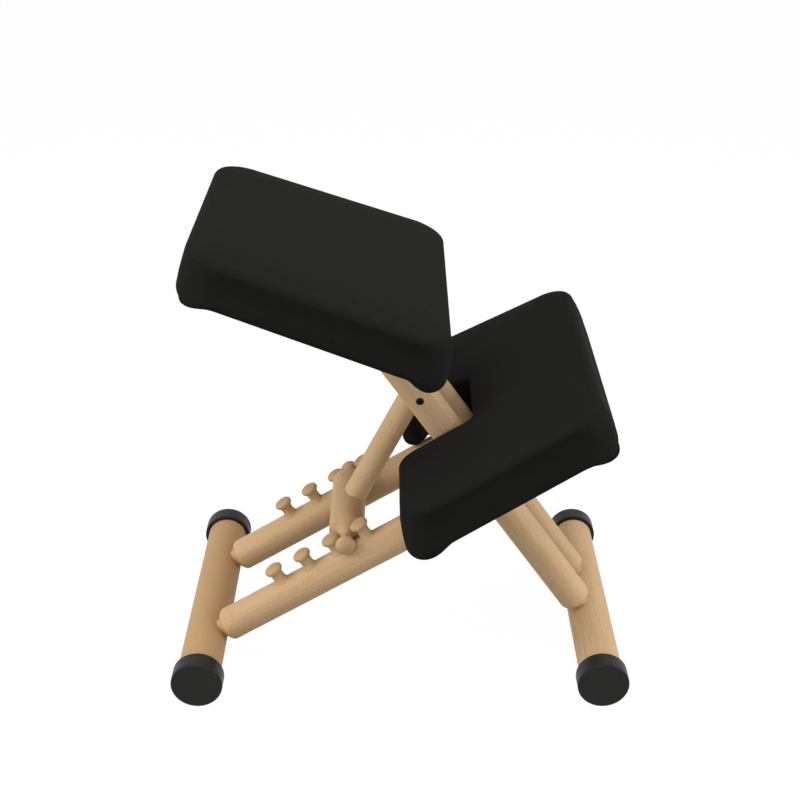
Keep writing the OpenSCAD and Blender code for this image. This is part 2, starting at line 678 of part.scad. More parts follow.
// Height of a knee screw's point over the rail's axis
knee_under_yz = [-knee_forward - knee_thickness * sin(knee_tilt),
                 knee_height - knee_thickness * cos(knee_tilt)];
function knee_screw_tip(place) =
    ((knee_under_yz - rail_point(knee_screw_along(place), 0)) * [sin(knee_tilt), cos(knee_tilt)])
    / cos(knee_rail_angle - knee_tilt) + screw_bite;
function knee_screw_y(place) =
    (rail_point(knee_screw_along(place), 0) - knee_under_yz) * [cos(knee_tilt), -sin(knee_tilt)];
saddle_front_y = knee_screw_y(1) - saddle_ahead;
saddle_back_y = knee_screw_y(0) + saddle_behind;
module knee_board_screws() {
    color(zinc) for (side = [left, right]) for (place = [0, 1])
        knee_screw_place(side, place) translate([0, 0, knee_screw_sink - rail_r]) {
            translate([0, 0, -screw_head]) rod(screw_head_d, screw_head);
            rod(screw_d, knee_screw_tip(place) - knee_screw_sink + rail_r);
        }
}
module knee_saddle(side) {
    color(beech) difference() {
        knee_frame() translate([side * rail_x - saddle_width / 2, saddle_front_y, -rail_r])
            cube([saddle_width, saddle_back_y - saddle_front_y, rail_r]);
        rail_frame() translate([side * rail_x, 0, 0]) forward()
            rod(knee_rail_d + 2 * fit_gap, pivot_on_rail + knee_rail_front + overrun);
        for (place = [0, 1]) knee_screw_place(side, place) rod(screw_d + 2 * fit_gap, knee_rail_d + overrun);
    }
}

back_cross_rail();
cap(left, stance / 2);  // back_cap_left
cap(right, stance / 2);  // back_cap_right
knee_rail(left);  // knee_rail_left
knee_rail(right);  // knee_rail_right
for (i = [1 : peg_count]) {
    height_peg(left, i - 1);
    height_peg(right, i - 1);
}
pivot_bolt();
pivot_nut();
pivot_washer(left);  // pivot_washer_left
pivot_washer(right);  // pivot_washer_right
knee_saddle(left);  // knee_saddle_left
knee_saddle(right);  // knee_saddle_right
knee_board();
knee_board_screws();
knee_cushion();
front_cross_rail();
cap(left, -stance / 2);  // front_cap_left
cap(right, -stance / 2);  // front_cap_right
seat_leg(left);  // seat_leg_left
seat_leg(right);  // seat_leg_right
seat_board();
seat_board_screws();
seat_cushion();
strut_bolt();
strut_nut();
strut();
cross_bar();
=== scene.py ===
"""Looks of a kneeling chair: turned beech bars, rubber caps, bolts and black pads, round its frame.

The sitter faces -Y, the sitter's left is +X, and the photograph looks along +X. Lengths are metres.
"""
import json
import math

import bmesh
import bpy
import numpy as np
from bpy.props import FloatProperty, FloatVectorProperty, PointerProperty
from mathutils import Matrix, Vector


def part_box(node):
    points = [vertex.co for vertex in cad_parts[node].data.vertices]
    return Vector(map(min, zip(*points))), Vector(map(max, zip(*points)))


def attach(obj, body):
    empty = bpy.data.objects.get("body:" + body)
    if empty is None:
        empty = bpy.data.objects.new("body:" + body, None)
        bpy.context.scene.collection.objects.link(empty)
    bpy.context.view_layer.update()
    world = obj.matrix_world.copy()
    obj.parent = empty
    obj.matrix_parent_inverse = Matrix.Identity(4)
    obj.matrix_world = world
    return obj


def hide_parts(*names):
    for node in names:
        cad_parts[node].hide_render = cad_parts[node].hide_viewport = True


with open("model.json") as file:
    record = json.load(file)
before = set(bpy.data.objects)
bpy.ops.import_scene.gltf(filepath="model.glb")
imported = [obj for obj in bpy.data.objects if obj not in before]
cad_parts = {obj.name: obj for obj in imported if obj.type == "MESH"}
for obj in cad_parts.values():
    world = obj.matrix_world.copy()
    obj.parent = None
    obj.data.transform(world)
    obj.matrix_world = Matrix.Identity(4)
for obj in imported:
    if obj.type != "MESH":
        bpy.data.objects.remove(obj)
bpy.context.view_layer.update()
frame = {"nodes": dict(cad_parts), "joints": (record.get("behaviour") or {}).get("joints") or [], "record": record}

bl_info = {
    "name": "Kneeling Chair",
    "version": (1, 0, 0),
    "blender": (4, 5, 0),
    "location": "View3D > Sidebar > Kneeling Chair",
    "description": "Turned beech, rubber caps, bolts and black pads round a kneeling chair's frame",
    "category": "Add Mesh",
}

MM = 0.001
X = np.array((1.0, 0.0, 0.0))
Y = np.array((0.0, 1.0, 0.0))
Z = np.array((0.0, 0.0, 1.0))
SIDES = {"left": 1.0, "right": -1.0}
BODY_OF = {node: body for body, nodes in frame["record"]["behaviour"]["bodies"].items() for node in nodes}
JOINT_AT = {joint["name"]: np.array(joint["pos_m"], float) for joint in frame["joints"]}


def linear(hex_colour):
    """Linear RGBA of an sRGB hex colour, by the sRGB curve's two parts."""
    channels = np.array([int(hex_colour[i:i + 2], 16) / 255 for i in (1, 3, 5)])
    curve = np.where(channels <= 0.04045, channels / 12.92, ((channels + 0.055) / 1.055) ** 2.4)
    return (*(float(c) for c in curve), 1.0)


def unit(vector):
    """The vector at length one."""
    return np.asarray(vector, float) / np.linalg.norm(vector)


def mesh_points(mesh):
    """A mesh's vertices as an array of points."""
    points = np.empty(len(mesh.vertices) * 3, np.float32)
    mesh.vertices.foreach_get("co", points)
    return points.reshape(-1, 3).astype(float)


def mesh_normals(mesh):
    """A mesh's vertex normals as an array."""
    normals = np.empty(len(mesh.vertices) * 3, np.float32)
    mesh.vertex_normals.foreach_get("vector", normals)
    return normals.reshape(-1, 3).astype(float)


def middle(node):
    """Middle of a CAD node's box."""
    low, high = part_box(node)
    return np.array((low + high) / 2, float)


def span(node, direction):
    """How far a CAD node reaches along a direction: its lowest and highest vertex."""
    reach = mesh_points(frame["nodes"][node].data) @ unit(direction)
    return reach.min(), reach.max()


# Axes of the round bars in the side view, from the frame
PIVOT = JOINT_AT["seat_lift"]
STRUT_BOLT = JOINT_AT["strut_swing"]
BACK_AXLE = middle("back_cross_rail")
FRONT_AXLE = middle("front_cross_rail")
BAR_AXLE = middle("cross_bar")
RAIL_WAY = unit(PIVOT - BACK_AXLE)
RAIL_OVER = np.cross(RAIL_WAY, X)
LEG_WAY = unit(PIVOT - FRONT_AXLE)
STRUT_WAY = unit(STRUT_BOLT - BAR_AXLE)
RAIL_X = middle("knee_rail_left")[0]
LEG_X = middle("seat_leg_left")[0]
RAIL_R = (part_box("knee_rail_left")[1][0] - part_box("knee_rail_left")[0][0]) / 2
LEG_R = (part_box("seat_leg_left")[1][0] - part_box("seat_leg_left")[0][0]) / 2


# What all lengths, and all colours, in the settings have in common
LENGTH = {"unit": "LENGTH", "precision": 4}
COLOUR = {"subtype": "COLOR", "size": 4, "min": 0.0, "max": 1.0}


class BeechSettings(bpy.types.PropertyGroup):
    """Turned beech: its edges, its figure and its colours."""
    soft_edge: FloatProperty(
        name="Soft Edge", description="Rounding that sanding leaves on a turned edge",
        default=1.2 * MM, min=0.1 * MM, max=2.0 * MM, **LENGTH)
    ring_spacing: FloatProperty(
        name="Ring Spacing", description="Width of one growth ring",
        default=3.4 * MM, min=1.0 * MM, max=8.0 * MM, **LENGTH)
    fibre_width: FloatProperty(
        name="Fibre Width", description="Width of the lengthwise streaks in the figure",
        default=1.5 * MM, min=0.4 * MM, max=4.0 * MM, **LENGTH)
    light: FloatVectorProperty(
        name="Light Wood", description="Colour of the early wood",
        default=linear("#D8B78D"), **COLOUR)
    dark: FloatVectorProperty(
        name="Dark Wood", description="Colour of the late wood",
        default=linear("#BB966B"), **COLOUR)
    fleck: FloatVectorProperty(
        name="Ray Flecks", description="Colour of the short flecks that mark beech",
        default=linear("#9C784F"), **COLOUR)


class PadSettings(bpy.types.PropertyGroup):
    """Upholstered pads: how full they are, and their cloth."""
    crown: FloatProperty(
        name="Crown", description="Rise of the top of the foam from its edge to its middle",
        default=4.0 * MM, min=0.0, max=10.0 * MM, **LENGTH)
    side_draw: FloatProperty(
        name="Side Draw", description="How far the sides pull in between their edges",
        default=2.5 * MM, min=0.0, max=6.0 * MM, **LENGTH)
    pressure: FloatProperty(
        name="Pressure", description="Pressure of the foam against the cover", default=4.0, min=0.5, max=10.0)
    swell: FloatProperty(
        name="Swell", description="Furthest that the cover may stand out from the foam's cut shape",
        default=2.6 * MM, min=0.0, max=10.0 * MM, **LENGTH)
    give: FloatProperty(
        name="Give", description="Furthest that the foam lets the cover pull in",
        default=0.4 * MM, min=0.0, max=2.0 * MM, **LENGTH)
    notch_swell: FloatProperty(
        name="Notch Swell", description="Furthest that the cover may stand out in the notch for the legs",
        default=0.4 * MM, min=0.0, max=1.5 * MM, **LENGTH)
    thread: FloatProperty(
        name="Thread Spacing", description="Distance from one thread of the weave to the next",
        default=1.4 * MM, min=0.4 * MM, max=3.0 * MM, **LENGTH)
    cloth: FloatVectorProperty(
        name="Cloth", description="Colour of the cover",
        default=linear("#1B1B1A"), **COLOUR)
    raised: FloatVectorProperty(
        name="Raised Threads", description="Colour of the cover where its threads catch the light",
        default=linear("#252524"), **COLOUR)


class FittingSettings(bpy.types.PropertyGroup):
    """Caps, bolts, washers and screws."""
    cap_round: FloatProperty(
        name="Cap Rounding", description="Rounding of the outer edge of a rubber cap",
        default=2.4 * MM, min=0.5 * MM, max=4.0 * MM, **LENGTH)
    rubber: FloatVectorProperty(
        name="Rubber", description="Colour of the caps",
        default=linear("#1B1B1A"), **COLOUR)
    steel: FloatVectorProperty(
        name="Black Steel", description="Colour of the blackened bolts",
        default=linear("#2B2B2D"), **COLOUR)
    zinc: FloatVectorProperty(
        name="Zinc", description="Colour of the plated screws and staples",
        default=linear("#B4B7BA"), **COLOUR)
    nylon: FloatVectorProperty(
        name="Nylon", description="Colour of the washers",
        default=linear("#D8D6D0"), **COLOUR)


class StageSettings(bpy.types.PropertyGroup):
    """Camera and studio."""
    camera_at: FloatVectorProperty(
        name="Camera Place", description="Where the photograph was taken from", subtype="XYZ", unit="LENGTH",
        default=(-1.7115, 0.0, 1.2055))
    camera_fall: FloatProperty(
        name="Camera Fall", description="How far the camera looks down from level", subtype="ANGLE",
        default=math.radians(26.19), min=0.0, max=math.radians(90))
    lens: FloatProperty(
        name="Lens", description="Focal length on a 36 mm wide sensor",
        default=62.33, min=10.0, max=300.0, unit="CAMERA")
    world_light: FloatProperty(
        name="Room Light", description="Strength of the even light from all round",
        default=0.25, min=0.0, max=2.0)
    top_light: FloatProperty(
        name="Overhead Light", description="Power of the large softbox over the chair",
        default=34.0, min=0.0, max=200.0, subtype="POWER")
    near_light: FloatProperty(
        name="Near Light", description="Power of the low softbox on the camera's side",
        default=13.0, min=0.0, max=100.0, subtype="POWER")
    side_light: FloatProperty(
        name="Side Light", description="Power of each softbox before and behind the chair",
        default=24.0, min=0.0, max=100.0, subtype="POWER")


class ChairSettings(bpy.types.PropertyGroup):
    """Everything that a user would change."""
    beech: PointerProperty(type=BeechSettings)
    pad: PointerProperty(type=PadSettings)
    fitting: PointerProperty(type=FittingSettings)
    stage: PointerProperty(type=StageSettings)


# Mesh tools

def linked(name, mesh):
    """A new object in the scene that holds the mesh."""
    made = bpy.data.objects.new(name, mesh)
    bpy.context.scene.collection.objects.link(made)
    return made


def close_up(mesh, gap=1e-6):
    """Merges doubled vertices and turns all faces of the closed shell outwards."""
    work = bmesh.new()
    work.from_mesh(mesh)
    bmesh.ops.remove_doubles(work, verts=work.verts, dist=gap)
    bmesh.ops.recalc_face_normals(work, faces=work.faces)
    work.to_mesh(mesh)
    work.free()


def smooth(mesh, crease=35):
    """Shades the mesh smooth, with a hard edge where faces meet at more than the crease in degrees."""
    mesh.shade_smooth()
    mesh.set_sharp_from_angle(angle=math.radians(crease))


def grid_faces(rows, columns, round_rows=False, round_columns=True):
    """The quads of a grid of points that are numbered row by row: each joins two neighbours in a row to
    the two in the next. A round grid closes on itself in that way."""
    index = np.arange(rows * columns).reshape(rows, columns)
    index = np.vstack([index, index[:1]]) if round_rows else index
    index = np.hstack([index, index[:, :1]]) if round_columns else index
    return np.stack([index[:-1, :-1], index[:-1, 1:], index[1:, 1:], index[1:, :-1]], axis=-1).reshape(-1, 4)


def solid(name, points, faces):
    """A closed piece from its points and faces."""
    mesh = bpy.data.meshes.new(name)
    mesh.from_pydata(points.tolist(), [], faces.tolist())
    close_up(mesh)
    smooth(mesh)
    return linked(name, mesh)


def surface(name, points, round_rows=False):
    """A closed surface from a grid of points [row, column] whose columns close on themselves, and whose
    rows do so too where round_rows is set."""
    rows, columns = points.shape[:2]
    return solid(name, points.reshape(-1, 3), grid_faces(rows, columns, round_rows))


# A corner that turns by less than this stays as it is
LEAST_TURN = math.radians(1)


def rounded(corners, steps=5, closed=False):
    """A line through (a, b, radius) corners. Each corner gives way to the arc that touches both of its
    sides: its centre lies on their bisector, radius / sin(half the angle) away from the corner."""
    corners = np.asarray(corners, float)
    places = corners[:, :2]
    order = range(len(corners)) if closed else range(1, len(corners) - 1)
    line = [] if closed else [places[:1]]
    for i in order:
        here = places[i]
        back, on = unit(places[i - 1] - here), unit(places[(i + 1) % len(corners)] - here)
        half = math.acos(float(np.clip(back @ on, -1.0, 1.0))) / 2
        turn = math.pi - 2 * half
        if corners[i, 2] <= 0 or turn < LEAST_TURN:
            line.append(here[None])
            continue
        centre = here + unit(back + on) * corners[i, 2] / math.sin(half)
        reach = corners[i, 2] / math.tan(half)
        first, last = here + back * reach - centre, here + on * reach - centre
        t = np.linspace(0, 1, steps + 1)[:, None]
        line.append(centre + (np.sin((1 - t) * turn) * first + np.sin(t * turn) * last) / math.sin(turn))
    if not closed:
        line.append(places[-1:])
    return np.concatenate(line)


# The cosine past which an axis runs nearly along X
NEARLY_ALONG = 0.9


def across(axis):
    """Two directions that are square to an axis and to each other; the first is X unless the axis is."""
    first = Y if abs(unit(axis) @ X) > NEARLY_ALONG else X
    second = unit(np.cross(unit(axis), first))
    return np.cross(second, unit(axis)), second


def evenly(line, step):
    """The line with its long straight stretches divided so that no step is longer than step."""
    parts = [np.linspace(a, b, max(1, math.ceil(np.linalg.norm(b - a) / step)), endpoint=False)
             for a, b in zip(line[:-1], line[1:])]
    return np.concatenate(parts + [line[-1:]])


# The steps of a short curve that is drawn by its formula
CURVE_STEPS = 8


def dome(foot, height, radius):
    """The (along, radius) points of a quarter ellipse that closes a turned end, after its first point."""
    turn = np.linspace(0, math.pi / 2, CURVE_STEPS + 1)[1:]
    return np.stack([foot + height * np.sin(turn), radius * np.cos(turn)], axis=1)


# A step that is longer than any profile, which leaves its straight stretches whole
WHOLE = 1.0


def turned(name, profile, start, axis, columns=72, step=12 * MM):
    """A turned body: the profile of (along, radius) points is carried once round the axis, so a point is
    start + along * axis + radius * (cos t * first + sin t * second), with t from 0 to a full turn."""
    profile = evenly(np.asarray(profile, float), step)
    first, second = across(axis)
    t = np.linspace(0, 2 * math.pi, columns, endpoint=False)
    ring = np.cos(t)[:, None] * first + np.sin(t)[:, None] * second
    points = start + profile[:, None, :1] * unit(axis) + profile[:, None, 1:] * ring[None]
    return surface(name, points)


def settle(obj):
    """Makes what the modifiers give the object's own mesh."""
    graph = bpy.context.evaluated_depsgraph_get()
    mesh = bpy.data.meshes.new_from_object(obj.evaluated_get(graph))
    old = obj.data
    obj.modifiers.clear()
    obj.data = mesh
    bpy.data.meshes.remove(old)


def cut(obj, cutters, keep=False):
    """Takes each cutter out of the object by an exact boolean, and deletes the cutters unless kept."""
    for cutter in cutters:
        boolean = obj.modifiers.new("cut", "BOOLEAN")
        boolean.operation = "DIFFERENCE"
        boolean.solver = "EXACT"
        boolean.object = cutter
    settle(obj)
    smooth(obj.data)
    if not keep:
        for cutter in cutters:
            bpy.data.objects.remove(cutter)
    return obj


def drill(start, axis, steps, columns=48):
    """A cutter for a stepped bore: its steps are (from, to, radius) along the axis, end to end."""
    profile = [(steps[0][0], 0.0)]
    for low, high, radius in steps:
        profile += [(low, radius), (high, radius)]
    profile.append((steps[-1][1], 0.0))
    return turned("drill", profile, start, axis, columns=columns, step=WHOLE)


def joined(name, objects):
    """One object that holds the meshes of several."""
    work = bmesh.new()
    for obj in objects:
        work.from_mesh(obj.data)
        bpy.data.objects.remove(obj)
    mesh = bpy.data.meshes.new(name)
    work.to_mesh(mesh)
    work.free()
    smooth(mesh)
    return linked(name, mesh)


def lay_grain(obj, start, axis, number, tone_and_painted_light=0.0):
    """Stores where each point lies in the plank that the piece was turned from, as two distances across
    the grain and one along it, and how squarely the surface cuts the fibres: the cube of the cosine. The
    number picks a place in the plank, and the last argument is how much darker than the others the
    piece is painted. On the seat legs and the strut it lightens them, as painted light against the
    seat's shade."""
    along = unit(axis)
    first, second = across(axis)
    mesh = obj.data
    place = (mesh_points(mesh) - start) @ np.stack([first, second, along], axis=1)
    place += number * np.array(PLANK_STEP)
    grain = mesh.attributes.new("grain", "FLOAT_VECTOR", "POINT")
    grain.data.foreach_set("vector", place.astype(np.float32).ravel())
    square = np.abs(mesh_normals(mesh) @ along) ** 3
    for name, values in (("end_grain", square), ("tone_and_painted_light", np.full(len(place), tone_and_painted_light))):
        mesh.attributes.new(name, "FLOAT", "POINT").data.foreach_set("value", values.astype(np.float32))


def stand_in(obj, material, slot, *nodes):
    """Gives a piece its finish, and lets it ride with and stand for its CAD nodes."""
    obj.data.materials.clear()
    obj.data.materials.append(material)
    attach(obj, BODY_OF[nodes[0]])
    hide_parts(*nodes)
    return obj


# Materials

def add(tree, kind, inputs=(), **settings):
    """Adds one node. The settings are its properties, and inputs gives a socket's name or number its
    value, or the socket that feeds it."""
    made = tree.nodes.new(kind)
    for key, value in settings.items():
        setattr(made, key, value)
    for key, value in dict(inputs).items():
        if isinstance(value, bpy.types.NodeSocket):
            tree.links.new(value, made.inputs[key])
        else:
            made.inputs[key].default_value = value
    return made


def made_once(name):
    """Turns a function that adds a material's nodes and gives its shader into one that gives the whole
    material, which the first call makes. A name with {} in it takes the first argument there."""
    def whole(fill):
        def give(*arguments):
            title = name.format(*arguments)
            material = bpy.data.materials.get(title)
            if material is None:
                material = bpy.data.materials.new(title)
                material.use_nodes = True
                tree = material.node_tree
                tree.nodes.clear()
                shader = fill(tree, *arguments)
                add(tree, "ShaderNodeOutputMaterial", {"Surface": shader.outputs[0]})
            return material
        return give
    return whole


def wave_scale(spacing):
    """Scale of a Wave texture whose bands lie that far apart: one band is 2 pi / 20 of its units."""
    return 2 * math.pi / 20 / spacing


# Where nearly all the values of a Noise texture lie
NOISE_SPAN = {"From Min": 0.3, "From Max": 0.7}
# Distance between two pieces' places in the plank: two across the grain and one along it
PLANK_STEP = (0.031, 0.017, 0.23)
# The place of the first piece of each kind in the plank, in such steps
PLANK_PLACES = {
    "cross_rail": 0, "knee_rail": 2, "seat_leg": 4, "strut": 6, "cross_bar": 7, "knee_saddle": 8, "peg": 10}
# Distance of the tree's heart from a piece, which makes the rings run as long gentle arcs, and how much
# slower the rings change along the trunk than across it
HEART_OFFSET = (0.085, 0.052, 0.0)
RING_TAPER = 0.08
# How much darker than the others single bars are painted, and how much lighter below nought. The seat legs and the
# strut are painted lighter, as painted light against the shade that the seat casts on them
BAR_TONES_AND_PAINTED_LIGHT = {
    "back_cross_rail": 0.72, "front_cross_rail": -0.2, "knee_rail": -0.05, "seat_leg": -0.3, "strut": -0.3}
# How wide the shades are, and how far apart the flecks lie
SHADE_WIDTH, FLECK_SPACING = 16 * MM, 1.7 * MM
# How many times longer than wide the streaks, the shades and the flecks are
STREAK_RATIO, SHADE_RATIO, FLECK_RATIO = 34.0, 9.0, 6.0
# How much of the late wood's colour the rings add, and of the flecks' colour the end grain
RING_SHARE, END_SHARE = 0.26, 0.35


def along_grain(tree, grain, kind, width, ratio, inputs, **settings):
    """A texture whose figure has the width across the grain, and ratio times that along it."""
    place = add(tree, "ShaderNodeMapping", {
        "Vector": grain.outputs["Vector"], "Scale": (1 / width, 1 / width, 1 / width / ratio)})
    return add(tree, kind, {"Vector": place.outputs[0], "Scale": 1.0, **inputs}, **settings)


@made_once("lacquered beech")
def beech(tree, settings):
    """Lacquered beech: turned, sanded and given a clear matt lacquer. The eye sees a warm even tan with
    faint lengthwise streaks, small darker ray flecks, darker end grain and a soft gloss."""
    grain, ends, tone_and_painted_light = (add(tree, "ShaderNodeAttribute", attribute_name=name)
                         for name in ("grain", "end_grain", "tone_and_painted_light"))
    streak = along_grain(tree, grain, "ShaderNodeTexNoise", settings.fibre_width, STREAK_RATIO, {
        "Detail": 3.0, "Roughness": 0.6})
    shade = along_grain(tree, grain, "ShaderNodeTexNoise", SHADE_WIDTH, SHADE_RATIO, {
        "Detail": 2.0, "Roughness": 0.5})
    flecks = along_grain(tree, grain, "ShaderNodeTexVoronoi", FLECK_SPACING, FLECK_RATIO, {
        "Randomness": 1.0}, feature="F1")
    ring_at = add(tree, "ShaderNodeMapping", {
        "Vector": grain.outputs["Vector"], "Location": HEART_OFFSET, "Scale": (1.0, 1.0, RING_TAPER)})
    rings = add(tree, "ShaderNodeTexWave", {
        "Vector": ring_at.outputs[0], "Scale": wave_scale(settings.ring_spacing), "Distortion": 5.0,
        "Detail": 2.0, "Detail Scale": 0.6}, wave_type="RINGS", rings_direction="Z", wave_profile="SAW")
    ring_part = add(tree, "ShaderNodeMath", {0: rings.outputs["Fac"], 1: RING_SHARE}, operation="MULTIPLY")
    streak_part = add(tree, "ShaderNodeMapRange", {
        "Value": streak.outputs[0], **NOISE_SPAN, "To Min": 0.0, "To Max": 0.32})
    shade_part = add(tree, "ShaderNodeMapRange", {
        "Value": shade.outputs[0], **NOISE_SPAN, "To Min": -0.02, "To Max": 0.32})
    depth = ring_part.outputs[0]
    # Each bar's painted darkening is added here too. On the seat legs and the strut it is painted light, which
    # lightens them against the seat's shade
    for part in (streak_part.outputs[0], tone_and_painted_light.outputs["Fac"], shade_part.outputs[0]):
        depth = add(tree, "ShaderNodeMath", {0: depth, 1: part}, operation="ADD").outputs[0]
    fleck_mask = add(tree, "ShaderNodeMapRange", {
        "Value": flecks.outputs["Distance"], "From Min": 0.1, "From Max": 0.24, "To Min": 0.6, "To Max": 0.0})
    end_part = add(tree, "ShaderNodeMath", {0: ends.outputs["Fac"], 1: END_SHARE}, operation="MULTIPLY")
    wood = add(tree, "ShaderNodeMix", {0: depth, 6: settings.light, 7: settings.dark}, data_type="RGBA")
    flecked = add(tree, "ShaderNodeMix", {
        0: fleck_mask.outputs[0], 6: wood.outputs[2], 7: settings.fleck}, data_type="RGBA")
    colour = add(tree, "ShaderNodeMix", {
        0: end_part.outputs[0], 6: flecked.outputs[2], 7: settings.fleck}, data_type="RGBA")
    gloss = add(tree, "ShaderNodeMapRange", {
        "Value": streak.outputs[0], **NOISE_SPAN, "To Min": 0.5, "To Max": 0.6})
    bump = add(tree, "ShaderNodeBump", {
        "Strength": 0.25, "Distance": 0.15 * MM, "Height": streak.outputs[0]})
    return add(tree, "ShaderNodeBsdfPrincipled", {
        "Base Color": colour.outputs[2], "Roughness": gloss.outputs[0], "Normal": bump.outputs[0],
        "IOR": 1.5, "Specular IOR Level": 0.22})


# How many bands of the veneer lie in a metre, along the board's width and across it
VENEER_BANDS = (12.0, 220.0, 220.0)


@made_once("birch plywood {}")
def plywood(tree, board, tilt):
    """Birch plywood: rotary-cut veneer, pressed and sanded. The eye sees a pale, dry face with broad
    wavy bands that run one way. The tilt turns the bands along the board, whose name the material takes."""
    place = add(tree, "ShaderNodeTexCoord")
    at = add(tree, "ShaderNodeMapping", {
        "Vector": place.outputs["Object"], "Rotation": (-tilt, 0.0, 0.0), "Scale": VENEER_BANDS})
    bands = add(tree, "ShaderNodeTexNoise", {"Vector": at.outputs[0], "Scale": 1.0, "Detail": 4.0})
    colour = add(tree, "ShaderNodeMix", {
        0: bands.outputs[0], 6: linear("#C9A777"), 7: linear("#A9824F")}, data_type="RGBA")
    bump = add(tree, "ShaderNodeBump", {"Strength": 0.2, "Distance": 0.2 * MM, "Height": bands.outputs[0]})
    return add(tree, "ShaderNodeBsdfPrincipled", {
        "Base Color": colour.outputs[2], "Roughness": 0.62, "Normal": bump.outputs[0], "IOR": 1.5})


@made_once("black woven cloth")
def cover_cloth(tree, settings):
    """Woven polyester upholstery cloth: dyed black, pulled tight over foam. The eye sees a soft matt
    black with a fine plain weave and a faint sheen at grazing angles. The weave is drawn at 1.4 mm,
    about twice the real thread spacing, so that it shows close up."""
    uv = add(tree, "ShaderNodeUVMap", uv_map="weave")
    place = add(tree, "ShaderNodeTexCoord")
    warp, weft = (add(tree, "ShaderNodeTexWave", {
        "Vector": uv.outputs[0], "Scale": wave_scale(2 * settings.thread)},
        bands_direction=way, wave_profile="SIN") for way in "XY")
    over = add(tree, "ShaderNodeTexChecker", {
        "Vector": uv.outputs[0], "Scale": 1 / settings.thread, "Color1": (1, 1, 1, 1),
        "Color2": (0, 0, 0, 1)})
    weave = add(tree, "ShaderNodeMix", {
        0: over.outputs["Fac"], 2: warp.outputs["Fac"], 3: weft.outputs["Fac"]}, data_type="FLOAT")
    nap = add(tree, "ShaderNodeTexNoise", {
        "Vector": place.outputs["Object"], "Scale": 1 / (9 * MM), "Detail": 5.0, "Roughness": 0.65})
    # The colour is painted lighter on the weave's raised threads as a painted highlight, mottled by the nap
    lit = add(tree, "ShaderNodeMath", {0: weave.outputs[0], 1: nap.outputs[0]}, operation="MULTIPLY")
    colour = add(tree, "ShaderNodeMix", {
        0: lit.outputs[0], 6: settings.cloth, 7: settings.raised}, data_type="RGBA")
    bump = add(tree, "ShaderNodeBump", {"Strength": 0.22, "Distance": 0.25 * MM, "Height": weave.outputs[0]})
    return add(tree, "ShaderNodeBsdfPrincipled", {
        "Base Color": colour.outputs[2], "Roughness": 0.88, "Normal": bump.outputs[0], "IOR": 1.45,
        "Specular IOR Level": 0.02, "Sheen Weight": 0.006, "Sheen Roughness": 0.45})


@made_once("moulded rubber")
def rubber(tree, settings):
    """Moulded rubber: black, from a smooth mould. The eye sees a deep grey-black with a soft shine and a
    barely uneven skin."""
    place = add(tree, "ShaderNodeTexCoord")
    skin, bloom = (add(tree, "ShaderNodeTexNoise", {
        "Vector": place.outputs["Object"], "Scale": 1 / size, "Detail": 3.0}) for size in (1.2 * MM, 14 * MM))
    gloss = add(tree, "ShaderNodeMapRange", {
        "Value": bloom.outputs[0], **NOISE_SPAN, "To Min": 0.36, "To Max": 0.48})
    colour = add(tree, "ShaderNodeMix", {
        0: bloom.outputs[0], 6: settings.rubber, 7: linear("#232322")}, data_type="RGBA")
    bump = add(tree, "ShaderNodeBump", {"Strength": 0.12, "Distance": 0.1 * MM, "Height": skin.outputs[0]})
    return add(tree, "ShaderNodeBsdfPrincipled", {
        "Base Color": colour.outputs[2], "Roughness": gloss.outputs[0], "Normal": bump.outputs[0],
        "IOR": 1.52, "Specular IOR Level": 0.15})


# How bright the dull places of a metal's skin are beside the rest
DULL_SHARE = 0.8


def metal(tree, base, rough, patch, bite):
    """A metal with a fine uneven skin: patch is the size of its uneven places, and bite how much rougher
    they get."""
    place = add(tree, "ShaderNodeTexCoord")
    patches = add(tree, "ShaderNodeTexNoise", {
        "Vector": place.outputs["Object"], "Scale": 1 / patch, "Detail": 4.0})
    gloss = add(tree, "ShaderNodeMapRange", {
        "Value": patches.outputs[0], **NOISE_SPAN, "To Min": rough, "To Max": rough + bite})
    dull = (*(DULL_SHARE * channel for channel in base[:3]), 1.0)
    colour = add(tree, "ShaderNodeMix", {0: patches.outputs[0], 6: base, 7: dull}, data_type="RGBA")
    return add(tree, "ShaderNodeBsdfPrincipled", {
        "Base Color": colour.outputs[2], "Metallic": 1.0, "Roughness": gloss.outputs[0]})


@made_once("blackened steel")
def black_steel(tree, settings):
    """Blackened steel: turned, then oxidised in a bath. The eye sees a dark satin skin with a soft
    highlight on its edges."""
    return metal(tree, settings.steel, rough=0.34, patch=3 * MM, bite=0.1)


@made_once("zinc plate")
def zinc_plate(tree, settings):
    """Zinc plate on steel wire and screws. The eye sees a bright, slightly cloudy grey metal."""
    return metal(tree, settings.zinc, rough=0.28, patch=2 * MM, bite=0.16)


@made_once("natural nylon")
def nylon(tree, settings):
    """Moulded nylon: natural, unpigmented. The eye sees a milky off-white with a waxy gloss."""
    place = add(tree, "ShaderNodeTexCoord")
    cloud = add(tree, "ShaderNodeTexNoise", {
        "Vector": place.outputs["Object"], "Scale": 1 / (5 * MM), "Detail": 2.0})
    colour = add(tree, "ShaderNodeMix", {
        0: cloud.outputs[0], 6: settings.nylon, 7: linear("#CFCCC4")}, data_type="RGBA")
    return add(tree, "ShaderNodeBsdfPrincipled", {
        "Base Color": colour.outputs[2], "Roughness": 0.42, "IOR": 1.53})


# Turned wood

# The tenons that hold the rails and legs in the cross rails: their radius, how far they pass the cross
# rail's axis, and how far before it the bar's shoulder stands
TENON_R, TENON_PAST, SHOULDER = 13 * MM, 12 * MM, 33 * MM
CHAMFER, SHOULDER_CHAMFER = 3 * MM, 6 * MM
# Clearance round glued and turning fits, and round the heads of bolts and screws
FIT, HEAD_PLAY = 0.05 * MM, 0.5 * MM
# Longer than any bore has to be
REACH = 60 * MM
HEAD_HEIGHT = 6 * MM
PIVOT_BOLT_R, STRUT_BOLT_R = 4 * MM, 3 * MM
